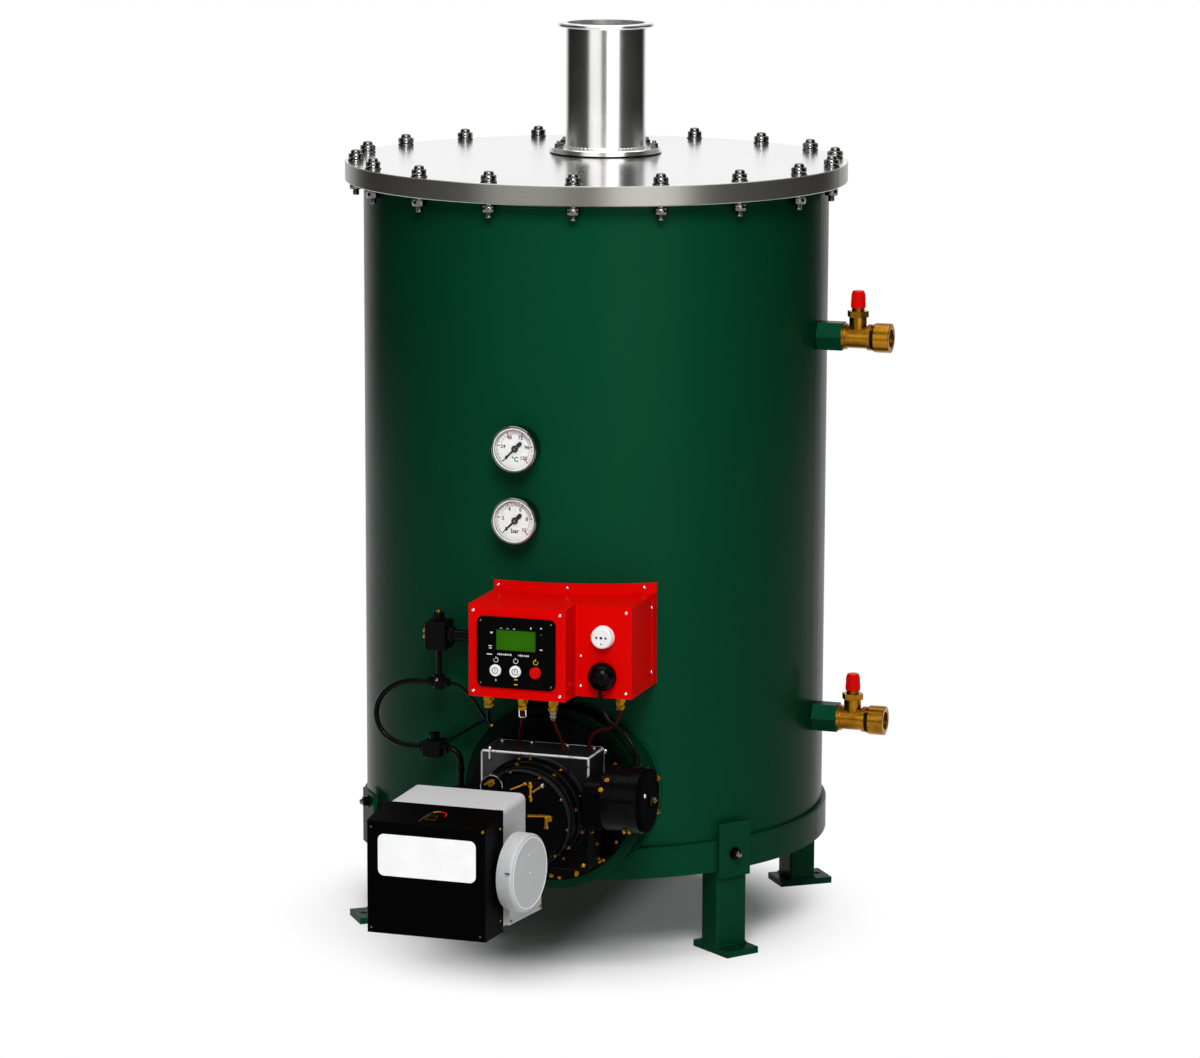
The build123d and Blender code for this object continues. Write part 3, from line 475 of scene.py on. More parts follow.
def ground_steel(nodes, scene):
    """Lid plate: bright ground top with broad soft bands, and a turned rim whose darker, warmer tone is
    painted reflection of the dark, warm room round it.
    """
    tones = scene.heater_metal
    across, along, _ = nodes.axes()
    rim = nodes.step((across ** 2.0 + along ** 2.0) ** 0.5, 0.4622, 0.463)
    lines = nodes.noise(1.0, 5.0, stretch=(14.0, 700.0, 500.0))
    band = nodes.noise(1.0, 2.0, stretch=(4.0, 1.2, 1.0))
    top = nodes.blend(shade(tones.lid_tone, 0.88), shade(tones.lid_tone, 1.1), 0.35 * lines + 0.65 * band)
    # Painted reflection: the rim's darker, warmer steel stands for the dark, warm room it mirrors, on top of
    # its turned finish
    rim_with_painted_shade = nodes.blend(shade(tones.rim_tone_with_painted_shade, 0.9), shade(tones.rim_tone_with_painted_shade, 1.1), lines)
    nodes.finish({
        "Base Color": nodes.blend(top, rim_with_painted_shade, rim),
        "Metallic": 1.0,
        "Roughness": 0.15 + 0.05 * lines + 0.13 * rim,
        "Normal": nodes.bump(lines, 0.000006),
    })


def handled_brass(nodes, scene):
    """Brass, bright where it is handled and dull in blotches."""
    tones = scene.heater_metal
    blotch = nodes.step(nodes.noise(30.0, 3.0), 0.36, 0.7)
    lines = nodes.noise(1.0, 3.0, stretch=(420.0, 420.0, 420.0))
    nodes.finish({
        "Base Color": nodes.blend(shade(tones.brass_bright), shade(tones.brass_dull), 0.5 * blotch),
        "Metallic": 1.0,
        "Roughness": 0.2 + 0.1 * blotch + 0.04 * lines,
        "Normal": nodes.bump(lines, 0.000008),
    })


def clear_glass(nodes, _):
    """Window glass of a gauge, with a faint haze."""
    haze = nodes.noise(60.0, 3.0)
    nodes.finish({
        "Base Color": nodes.blend((0.4, 0.42, 0.42, 1.0), (0.5, 0.5, 0.5, 1.0), haze),
        "Roughness": 0.02 + 0.05 * haze,
        "Alpha": 0.015 + 0.01 * haze,
        "Specular IOR Level": 0.1,
    })


def lit_screen(nodes, scene):
    """Lit display: rows of fine dots, brighter towards its middle."""
    colour = scene.heater_plastic.screen_green
    low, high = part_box("display_screen")
    across, _, height = nodes.axes()
    middle = ((low[0] + high[0]) / 2, (low[2] + high[2]) / 2)
    glow = ((across - middle[0]) ** 2.0 + (height - middle[1]) ** 2.0) ** 0.5
    centre = 1.0 - nodes.step(glow, 0.0, 0.055)
    dots = abs((across * 900.0).fraction() - 0.5)
    rows = abs((height * 900.0).fraction() - 0.5)
    grid = nodes.step(dots.most(rows), 0.38, 0.5)
    lit = nodes.blend(shade(colour, 0.9), shade(colour, 1.12), centre)
    dotted = nodes.blend(lit, shade(colour, 0.72), 0.5 * grid)
    nodes.finish({
        "Base Color": dotted,
        "Roughness": 0.22 + 0.05 * grid,
        "Specular IOR Level": 0.05,
        "Emission Color": dotted,
        "Emission Strength": 0.15,
    })


RECIPES = {
    recipe.__name__: recipe for recipe in (
        green_enamel, scorched_enamel, edged_enamel, worn_casting, worn_rings, ground_steel, handled_brass,
        clear_glass, lit_screen,
    )
}

# Even finishes: how they are made, the settings group and name of their colour, and the maker's other values
EVEN_FINISHES = {
    "red_enamel": (enamel, "heater_paint", "box_red", 0.3, 1.0, 0.02, 0.18),
    "grey_enamel": (enamel, "heater_paint", "housing_grey", 0.42, 0.6, 0.2, 0.2),
    "black_casting": (enamel, "heater_paint", "casting_black", 0.2, 2.0, 0.008),
    "matt_casting": (enamel, "heater_paint", "casting_black", 0.3, 2.0, 0.0008),
    "motor_gloss": (enamel, "heater_paint", "casting_black", 0.24, 1.0, 0.045),
    "polished_steel": (metal, "heater_metal", "flue_tone", 0.2, (6.0, 6.0, 900.0), 0.000004, 0.05),
    "screw_steel": (metal, "heater_metal", "screw_tone", 0.24, (300.0, 300.0, 300.0), 0.00001, 0.08),
    "plated_steel": (metal, "heater_metal", "nut_tone", 0.08, (260.0, 260.0, 260.0), 0.00001, 0.12),
    "bright_bezel": (metal, "heater_metal", "bezel_tone", 0.16, (500.0, 40.0, 500.0), 0.000004, 0.05),
    "sooted_steel": (moulded, "heater_metal", "soot", 0.86, 160.0, 0.0003, 0.2),
    "dial_face": (moulded, "heater_plastic", "dial_white", 0.62, 700.0, 0.000006, 0.3),
    "dial_ink": (moulded, "heater_plastic", "dial_ink", 0.5),
    "dial_red": (moulded, "heater_plastic", "dial_red", 0.55),
    "panel_gloss": (moulded, "heater_plastic", "panel_black", 0.2, 500.0, 0.000006, 0.015),
    "white_button": (moulded, "heater_plastic", "button_white", 0.34),
    "red_button": (moulded, "heater_plastic", "button_red", 0.26, 900.0, 0.00002, 0.03),
    "rubber_dome": (moulded, "heater_plastic", "cord_black", 0.16, 500.0, 0.00001, 0.05),
    "black_cover": (moulded, "heater_plastic", "cover_black", 0.34, 620.0, 0.00003, 0.006),
    "bare_plate": (moulded, "heater_plastic", "plate_white", 0.4, 300.0, 0.00001),
    "black_fitting": (moulded, "heater_plastic", "cord_black", 0.22, 260.0, 0.00003, 0.05),
    "cord_rubber": (moulded, "heater_plastic", "cord_black", 0.18, 420.0, 0.00002, 0.06),
    "red_silicone": (moulded, "heater_plastic", "lead_red", 0.3, 420.0, 0.00002, 0.05),
    "white_print": (moulded, "heater_plastic", "mark_white", 0.5),
    "yellow_print": (moulded, "heater_plastic", "mark_yellow", 0.42),
}


def finish(name):
    """The named finish, wired on its first use."""
    made = bpy.data.materials.get(name)
    if made is None:
        made = bpy.data.materials.new(name)
        made.use_nodes = True
        nodes = Nodes(made.node_tree)
        scene = bpy.context.scene
        if name in RECIPES:
            RECIPES[name](nodes, scene)
        else:
            maker, group, colour, *values = EVEN_FINISHES[name]
            maker(nodes, getattr(getattr(scene, group), colour), *values)
    return made


def dress(name, *node_names):
    """Give CAD nodes a finish through their own material slots."""
    for node_name in node_names:
        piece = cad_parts[node_name]
        if not piece.material_slots:
            piece.data.materials.append(finish(name))
        for material_slot in piece.material_slots:
            material_slot.material = finish(name)


# Mesh building

def facing(spot, direction, upright=UP, turn=0.0):
    """Placement at a spot whose local Z points along a direction, with its local Y upright."""
    out = Vector(direction).normalized()
    rise = Vector(upright) - out * out.dot(Vector(upright))
    if rise.length < 1e-6:
        rise = Vector((0.0, 1.0, 0.0))
    rise.normalize()
    turned_axes = Matrix((rise.cross(out), rise, out)).transposed().to_4x4()
    return Matrix.Translation(Vector(spot)) @ turned_axes @ Matrix.Rotation(turn, 4, "Z")


def moved(place, across=0.0, rise=0.0, out=0.0):
    """A placement moved along its own axes."""
    return place @ Matrix.Translation(Vector((across, rise, out)))


def ring(radius, height, sides):
    """Circle of points at a height."""
    turns = [2 * pi * i / sides for i in range(sides)]
    return [(radius * cos(turn), radius * sin(turn), height) for turn in turns]


def hexagon(flats, corner_height, flat_height, round_to=None):
    """Twelve points round a hexagon: its corners and the middles of its flats."""
    inner = flats / 2
    points = []
    for i in range(12):
        corner = i % 2 == 0
        reach = round_to or (inner / cos(pi / 6) if corner else inner)
        height = corner_height if corner else flat_height
        points.append((reach * cos(pi * i / 6), reach * sin(pi * i / 6), height))
    return points


def rounded(width, height, radius, level, steps=6):
    """Rectangle with round corners about the origin, at a level."""
    points = []
    for corner, (side, rise) in enumerate(((1, 1), (-1, 1), (-1, -1), (1, -1))):
        for i in range(steps + 1):
            angle = pi / 2 * (corner + i / steps)
            points.append((
                side * (width / 2 - radius) + radius * cos(angle),
                rise * (height / 2 - radius) + radius * sin(angle),
                level,
            ))
    return points


def ring_path(centre, radius, slope, steps):
    """Steps of a weld round an upright axis: each spot, and a way out that rises by a slope."""
    path = []
    for x, y, _ in ring(1.0, 0.0, steps):
        outward = Vector((x, y, 0.0))
        path.append((Vector(centre) + outward * radius, outward + Vector((0.0, 0.0, slope))))
    return path


class Bench:
    """One piece in the making: a mesh that shapes are added to, each with its finish."""

    def __init__(self):
        self.mesh = bmesh.new()
        self.finishes = []

    def paint(self, faces, name):
        """Mark new faces with a finish."""
        if name not in self.finishes:
            self.finishes.append(name)
        for face in faces:
            face.material_index = self.finishes.index(name)
            face.smooth = True

    def stack(self, place, layers, name, caps=(True, True)):
        """Skin a pile of like point rings and close its ends."""
        rows = [[self.mesh.verts.new(place @ Vector(point)) for point in layer] for layer in layers]
        faces = []
        for lower, upper in zip(rows, rows[1:]):
            for i, point in enumerate(lower):
                j = (i + 1) % len(lower)
                faces.append(self.mesh.faces.new((point, lower[j], upper[j], upper[i])))
        if caps[0]:
            faces.append(self.mesh.faces.new(rows[0][::-1]))
        if caps[1]:
            faces.append(self.mesh.faces.new(rows[-1]))
        self.paint(faces, name)

    def turned(self, place, outline, name, sides, caps=(True, True)):
        """Lathe an outline of (radius, height) steps."""
        self.stack(place, [ring(radius, height, sides) for radius, height in outline], name, caps)

    def slab(self, place, width, height, corner, depth, edge, name):
        """Flat plate with round corners and a broken front edge."""
        self.stack(place, [
            rounded(width, height, corner, 0.0),
            rounded(width, height, corner, depth - edge),
            rounded(width - 2 * edge, height - 2 * edge, max(corner - edge, edge / 4), depth),
        ], name)

    def tube(self, points, radius, name, sides):
        """Round wire through points, turning square to its run at each."""
        spots = [Vector(point) for point in points]
        layers = []
        upright = Vector(UP)
        for i, spot in enumerate(spots):
            run = (spots[min(i + 1, len(spots) - 1)] - spots[max(i - 1, 0)]).normalized()
            if abs(run.dot(upright)) > 0.95:
                upright = Vector(FRONT)
            upright = (upright - run * run.dot(upright)).normalized()
            aside = run.cross(upright)
            layers.append([
                spot + aside * radius * cos(2 * pi * k / sides) + upright * radius * sin(2 * pi * k / sides)
                for k in range(sides)
            ])
        self.stack(Matrix.Identity(4), layers, name)

    def weld(self, path, width, height, name, closed=False):
        """Weld bead along (spot, outward) steps: a low half round with the ripple of its passes."""
        rows = []
        for i, (spot, outward) in enumerate(path):
            spot = Vector(spot)
            outward = Vector(outward).normalized()
            before = Vector(path[i - 1][0]) if i or closed else spot
            after = Vector(path[(i + 1) % len(path)][0]) if i + 1 < len(path) or closed else spot
            aside = (after - before).normalized().cross(outward)
            rise = height * (0.8 + 0.2 * cos(2.1 * i))
            rows.append([
                self.mesh.verts.new(
                    spot + aside * width / 2 * cos(pi * k / 5) + outward * rise * sin(pi * k / 5)
                )
                for k in range(6)
            ])
        faces = []
        pairs = list(zip(rows, rows[1:])) + ([(rows[-1], rows[0])] if closed else [])
        for first, second in pairs:
            for k in range(5):
                faces.append(self.mesh.faces.new((first[k], first[k + 1], second[k + 1], second[k])))
        self.paint(faces, name)

    def words(self, place, text, height, depth, name):
        """Generic numbers or unit marks as raised print."""
        curve = bpy.data.curves.new("print", "FONT")
        curve.body = text
        curve.size = height * 1.4
        curve.align_x = "CENTER"
        curve.align_y = "CENTER"
        curve.extrude = depth / 2
        curve.offset = height * 0.03
        curve.resolution_u = 3
        holder = bpy.data.objects.new("print", curve)
        bpy.context.scene.collection.objects.link(holder)
        bpy.context.view_layer.update()
        mesh = bpy.data.meshes.new_from_object(holder)
        mesh.transform(moved(place, out=depth / 2))
        known = len(self.mesh.faces)
        self.mesh.from_mesh(mesh)
        self.mesh.faces.ensure_lookup_table()
        self.paint(self.mesh.faces[known:], name)
        bpy.data.objects.remove(holder)
        bpy.data.meshes.remove(mesh)
        bpy.data.curves.remove(curve)

    def arc(self, place, radius, width, start, sweep, depth, name, steps):
        """Flat arc or ring of print."""
        layers = []
        for i in range(steps + 1):
            angle = start + sweep * i / steps
            layers.append([
                (reach * cos(angle), reach * sin(angle), level)
                for reach, level in (
                    (radius - width / 2, 0.0), (radius + width / 2, 0.0),
                    (radius + width / 2, depth), (radius - width / 2, depth),
                )
            ])
        self.stack(place, layers, name)

    def bar(self, place, width, height, depth, name, across=0.0, rise=0.0, turn=0.0):
        """Small flat bar of print, moved across and up its plane and then turned."""
        spot = moved(place, across, rise) @ Matrix.Rotation(turn, 4, "Z")
        corners = [(side * width / 2, up * height / 2) for side, up in ((-1, -1), (1, -1), (1, 1), (-1, 1))]
        self.stack(spot, [[(x, y, level) for x, y in corners] for level in (0.0, depth)], name)

    def piece(self, name, slot, sharp=30.0):
        """Close the piece: it rides on the part with the finishes of its shapes. The slot is not used."""
        bmesh.ops.recalc_face_normals(self.mesh, faces=self.mesh.faces[:])
        mesh = bpy.data.meshes.new(name)
        self.mesh.to_mesh(mesh)
        self.mesh.free()
        for used in self.finishes:
            mesh.materials.append(finish(used))
        mesh.set_sharp_from_angle(angle=radians(sharp))
        made = bpy.data.objects.new(name, mesh)
        bpy.context.scene.collection.objects.link(made)
        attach(made, "root")
        return made


# Fasteners

def hex_head(bench, place, flats, height, name, under=False):
    """Hexagon with the turned chamfer of a nut or bolt head, on its top and also under it if asked."""
    drop = (flats / 2 / cos(pi / 6) - flats / 2) * tan(radians(30.0)) * 1.6
    foot = [hexagon(flats, 0.0, 0.0)]
    if under:
        foot = [hexagon(flats, 0.0, 0.0, flats * 0.475), hexagon(flats, drop, drop * 0.15)]
    bench.stack(place, foot + [
        hexagon(flats, height - drop, height - drop * 0.15),
        hexagon(flats, height, height, flats * 0.475),
    ], name)


def threaded_end(bench, place, radius, low, high, name, pitch):
    """Threaded stud end with a domed tip."""
    outline = [(radius, low)]
    height = low
    while height + pitch < high - radius * 0.35:
        outline.append((radius * 0.9, height + pitch / 2))
        outline.append((radius, height + pitch))
        height += pitch
    outline += [
        (radius * 0.93, high - radius * 0.22), (radius * 0.74, high - radius * 0.07), (radius * 0.35, high),
    ]
    bench.turned(place, outline, name, 20)


def plain_washer(bench, place, radius, thickness, name):
    """Round washer with broken edges."""
    edge = thickness * 0.2
    bench.turned(place, [
        (radius - edge, 0.0), (radius, edge), (radius, thickness - edge), (radius - edge, thickness),
    ], name, 32)


def domed_screw(bench, place, radius, height, name):
    """Domed screw head with a hexagon socket."""
    sides = 24
    socket = []
    for i in range(sides):
        angle = 2 * pi * i / sides
        flat = (angle + pi / 6) % (pi / 3) - pi / 6
        reach = radius * 0.36 / cos(flat)
        socket.append((reach * cos(angle), reach * sin(angle)))
    bench.stack(place, [
        ring(radius, 0.0, sides),
        ring(radius, height * 0.3, sides),
        ring(radius * 0.9, height * 0.68, sides),
        ring(radius * 0.68, height * 0.93, sides),
        [(x * 1.12, y * 1.12, height) for x, y in socket],
        [(x, y, height * 0.94) for x, y in socket],
        [(x, y, height * 0.35) for x, y in socket],
    ], name)


def brass_stud(bench, place, radius, height):
    """Brass hexagon nut with its stud end, as on the burner's castings."""
    hex_head(bench, place, radius * 1.8, height * 0.62, "handled_brass")
    bench.turned(place, [
        (radius * 0.5, height * 0.5), (radius * 0.5, height * 0.92), (radius * 0.34, height),
    ], "handled_brass", 16)


def leg_direction(corner):
    """Outward direction of a leg."""
    angle = radians(LEG_ANGLES[corner])
    return Vector((sin(angle), -cos(angle), 0.0))


# Pieces

class HEATER_OT_tank(bpy.types.Operator):
    """Enamel the tank, legs, neck and sockets, and add their weld beads"""

    bl_idname = "heater.tank"
    bl_label = "Tank"

    def execute(self, context):
        dress("green_enamel", "tank_shell", "tank_bottom", "base_band", "pipe_sockets")
        # The neck's enamel carries painted shade under the control box
        dress("scorched_enamel", "burner_neck")
        dress("green_enamel", *[f"leg_{corner}" for corner in LEG_ANGLES])
        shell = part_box("tank_shell")
        radius = shell[1][0]
        top = shell[1][2]
        bench = Bench()
        bench.weld(
            ring_path((0.0, 0.0, top - 0.0015), radius, -0.7, 420), 0.009, 0.0032, "green_enamel", True,
        )
        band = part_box("base_band")[1]
        seam = [
            ((0.0, radius - 0.0004, band[2] + (top - 0.004 - band[2]) * i / 260), (0.0, 1.0, 0.0))
            for i in range(261)
        ]
        bench.weld(seam, 0.01, 0.0018, "green_enamel")
        bead = []
        for x, y, _ in ring(1.0, 0.0, 220):
            across = BURNER_X + DRUM_RADIUS * x
            level = BURNER_Z + DRUM_RADIUS * y
            wall = radius if level > band[2] else band[0]
            bead.append(((across, -sqrt(wall ** 2 - across ** 2), level), (x, -0.9, y)))
        bench.weld(bead, 0.008, 0.0035, "green_enamel", True)
        leg_middle, tube_width, tube_depth = 0.4136, 0.066, 0.05
        for corner in LEG_ANGLES:
            out = leg_direction(corner)
            place = facing(out * leg_middle + Vector((0.0, 0.0, 0.012)), UP, out)
            bead = []
            for x, y, _ in rounded(tube_width, tube_depth, 0.005, 0.0, 8):
                outward = Vector((x / (tube_width / 2), y / (tube_depth / 2), 1.2))
                bead.append((place @ Vector((x, y, 0.0)), place.to_3x3() @ outward))
            bench.weld(bead, 0.007, 0.0035, "green_enamel", True)
        bench.piece("tank_welds", "green_paint", 60.0)
        return {"FINISHED"}


class HEATER_OT_leg_bolts(bpy.types.Operator):
    """Add the bolt and washer of each leg's bracket"""

    bl_idname = "heater.leg_bolts"
    bl_label = "Leg bolts"

    def execute(self, context):
        bracket_face, washer = 0.4456, 0.0022
        bench = Bench()
        for corner in LEG_ANGLES:
            out = leg_direction(corner)
            level = 0.226 if corner == "front_left" else 0.1865
            place = facing(out * bracket_face + Vector((0.0, 0.0, level)), out, UP, 0.3)
            plain_washer(bench, place, 0.012, washer, "black_fitting")
            hex_head(bench, moved(place, out=washer), 0.017, 0.0085, "black_fitting")
            threaded_end(bench, place, 0.005, 0.0085, 0.0165, "plated_steel", 0.0015)
        bench.piece("leg_bracket_bolts", "fitting_black")
        return {"FINISHED"}


class HEATER_OT_lid(bpy.types.Operator):
    """Finish the lid and its flange, and set the studs with a cap nut and washer above and a nut below"""

    bl_idname = "heater.lid"
    bl_label = "Lid fasteners"

    def execute(self, context):
        dress("ground_steel", "lid_plate", "shell_flange")
        lid = context.scene.heater_lid
        circle = LID_RADIUS - lid.edge_distance
        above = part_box("lid_plate")[1][2]
        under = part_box("shell_flange")[0][2]
        cap = lid.cap_radius
        top = lid.nut_height + lid.cap_height
        neck, length = lid.neck_radius, lid.neck_length
        stud_end = lid.lower_height + lid.stud_rise
        upper = Bench()
        lower = Bench()
        for k in range(lid.stud_count):
            angle = 2 * pi * k / lid.stud_count - pi / 2 + lid.turn
            spot = Vector((circle * cos(angle), circle * sin(angle), above))
            place = facing(spot, UP, (0.0, 1.0, 0.0), 0.9 * k)
            plain_washer(upper, place, lid.washer_radius, lid.washer_thickness, "plated_steel")
            seat = moved(place, out=lid.washer_thickness)
            hex_head(upper, seat, lid.nut_flats, lid.nut_height, "plated_steel", True)
            upper.turned(seat, [
                (cap, lid.nut_height - 0.001), (cap, top - cap * 0.42), (cap * 0.93, top - cap * 0.22),
                (cap * 0.76, top - cap * 0.07), (cap * 0.4, top),
            ], "plated_steel", 28)
            spot.z = under
            place = facing(spot, DOWN, (0.0, 1.0, 0.0), 0.9 * k)
            lower.turned(place, [
                (neck, 0.0), (neck, length * 0.5), (neck, length + 0.0005),
            ], "plated_steel", 20)
            seat = moved(place, out=length)
            hex_head(lower, seat, lid.lower_flats, lid.lower_height, "plated_steel", True)
            threaded_end(
                lower, seat, lid.stud_radius, lid.lower_height * 0.9, stud_end, "plated_steel", 0.0015,
            )
        upper.piece("lid_nuts_upper", "lid_steel", 62.0)
        lower.piece("lid_nuts_lower", "lid_steel", 62.0)
        return {"FINISHED"}


class HEATER_OT_flue(bpy.types.Operator):
    """Finish the flue and add its base bolts, gasket, weld and seam"""

    bl_idname = "heater.flue"
    bl_label = "Flue fittings"

    def execute(self, context):
        dress("polished_steel", "flue_pipe", "flue_base_flange")
        dress("sooted_steel", "smoke_tube")
        flue = context.scene.heater_flue
        low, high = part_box("flue_base_flange")
        axis = Vector(((low[0] + high[0]) / 2, (low[1] + high[1]) / 2, 0.0))
        washer = 0.0016
        bench = Bench()
        for k, angle in enumerate(radians(turn) for turn in (7.0, 51.0, 165.0, 217.0)):
            spot = axis + Vector((flue.bolt_circle * cos(angle), flue.bolt_circle * sin(angle), high[2]))
            place = facing(spot, UP, (0.0, 1.0, 0.0), 0.8 * k)
            plain_washer(bench, place, 0.0085, washer, "plated_steel")
            hex_head(bench, moved(place, out=washer), flue.bolt_flats, flue.bolt_height, "plated_steel")
            bolt_end = flue.bolt_height + 0.0065
            threaded_end(bench, place, 0.004, flue.bolt_height, bolt_end, "plated_steel", 0.00125)
        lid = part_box("lid_plate")[1][2]
        bench.turned(Matrix.Translation(axis), [
            (0.1042, lid), (0.1048, lid + 0.0004), (0.1048, lid + 0.0024), (0.104, lid + 0.0026),
        ], "black_fitting", 96, OPEN)
        bench.piece("flue_base_bolts", "flue_steel", 25.0)
        welds = Bench()
        foot = axis + Vector((0.0, 0.0, high[2]))
        welds.weld(ring_path(foot, FLUE_RADIUS, 0.9, 180), 0.006, 0.003, "polished_steel", True)
        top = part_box("flue_pipe")[1][2]
        seam = []
        for i in range(121):
            level = high[2] + 0.003 + (top - 0.01 - high[2]) * i / 120
            seam.append((axis + Vector((0.0, FLUE_RADIUS - 0.0002, level)), (0.0, 1.0, 0.0)))
        welds.weld(seam, 0.004, 0.0008, "polished_steel")
        welds.piece("flue_welds", "flue_steel", 60.0)
        return {"FINISHED"}


class HEATER_OT_gauges(bpy.types.Operator):
    """Finish the gauges and print their dials"""

    bl_idname = "heater.gauges"
    bl_label = "Gauges"

    def execute(self, context):
        dress("bright_bezel", "gauge_cases")
        dress("dial_face", "gauge_dials")
        dress("dial_ink", "gauge_pointers")
        dress("clear_glass", "gauge_glasses")
        gauges = context.scene.heater_gauges
        depth = context.scene.heater_controls.print_rise
        low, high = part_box("gauge_dials")
        radius = high[0]
        first = radians(225.0)
        scale, sweep = gauges.scale_radius, gauges.sweep
        strokes = gauges.divisions * 2
        digits = scale - gauges.long_stroke - gauges.digit_height * 0.85
        limit = first - sweep
        limit_middle = scale - 0.0035
        needle = 0.025
        bench = Bench()
        for level, unit, step in ((low[2] + radius, "bar", 1), (high[2] - radius, "°C", 12)):
            place = facing((0.0, low[1], level), FRONT)
            for i in range(strokes + 1):
                angle = first - sweep * i / strokes
                long = i % 4 == 0
                stroke = gauges.long_stroke if long else gauges.short_stroke
                middle = scale - stroke / 2
                bench.bar(
                    place, stroke, 0.0015 if long else 0.0005, depth, "dial_ink",
                    middle * cos(angle), middle * sin(angle), angle,
                )
                if long:
                    spot = moved(place, digits * cos(angle), digits * sin(angle))
                    bench.words(spot, str(i // 2 * step), gauges.digit_height, depth, "dial_ink")
            bench.arc(place, scale + 0.0006, 0.0006, first, -sweep, depth, "dial_ink", 80)
            bench.arc(
                place, scale - 0.0062, 0.0007, first - sweep * 0.25, -sweep * 0.75, depth, "dial_red", 60,
            )
            bench.bar(
                place, 0.0085, 0.0016, depth * 2, "dial_red",
                limit_middle * cos(limit), limit_middle * sin(limit), limit,
            )
            bench.words(moved(place, 0.0, -0.019), unit, 0.0085, depth, "dial_ink")
            rim = facing((0.0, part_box("gauge_cases")[0][1], level), FRONT)
            bench.turned(rim, [
                (0.0362, -0.001), (0.0366, 0.0004), (0.0378, 0.0004), (0.0381, 0.0),
            ], "dial_face", 72, OPEN)
            hub = moved(place, out=0.0012)
            bench.bar(
                hub, needle, 0.0032, 0.001, "dial_ink",
                needle / 2 * cos(first), needle / 2 * sin(first), first,
            )
            bench.turned(hub, [(0.0062, 0.0), (0.0062, 0.001), (0.0052, 0.0016)], "dial_ink", 28)
            bench.turned(hub, [(0.0026, 0.0014), (0.0026, 0.0021), (0.0016, 0.0025)], "plated_steel", 20)
            tail = moved(hub @ Matrix.Rotation(first - pi, 4, "Z"), 0.0112)
            bench.slab(tail, 0.0125, 0.0074, 0.0034, 0.001, 0.0003, "dial_ink")
        bench.piece("gauge_prints", "pointer_black")
        return {"FINISHED"}


class HEATER_OT_control_box(bpy.types.Operator):
    """Enamel the control box, set its screws and fold its side lip"""

    bl_idname = "heater.control_box"
    bl_label = "Control box"

    def execute(self, context):
        dress("red_enamel", "control_box")
        dress("handled_brass", "cable_glands")
        controls = context.scene.heater_controls
        low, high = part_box("control_box")
        step_x = 0.131
        top = 0.68
        inset = controls.corner_inset
        front = -0.569
        side_front = -0.511
        screws = Bench()
        ends = (low[2] + inset, top - inset)
        spots = [((x, front, z), FRONT) for x in (low[0] + inset, step_x - inset) for z in ends]
        spots += [((high[0] - inset, side_front, z), FRONT) for z in ends]
        spots += [((step_x + 0.009, side_front, z), FRONT) for z in (0.534, 0.588)]
        spots += [((high[0], -0.392, z), RIGHT) for z in (low[2] + 0.026, top - 0.022)]
        for x in (-0.041, 0.086, 0.215):
            y = -sqrt(LIP_RADIUS ** 2 - x ** 2)
            spots.append(((x, y, 0.6895), (x, y, 0.0)))
        for k, (spot, direction) in enumerate(spots):
            place = facing(spot, direction, UP, 0.5 * k)
            domed_screw(screws, place, controls.screw_radius, controls.screw_height, "screw_steel")
        screws.piece("control_box_screws", "gauge_steel")
        fold = Bench()
        place = facing((high[0], -0.384, (low[2] + top) / 2), RIGHT)
        fold.slab(place, 0.018, top - low[2] - 0.012, 0.0012, 0.0018, 0.0006, "red_enamel")
        fold.piece("control_box_side_fold", "red_paint")
        return {"FINISHED"}


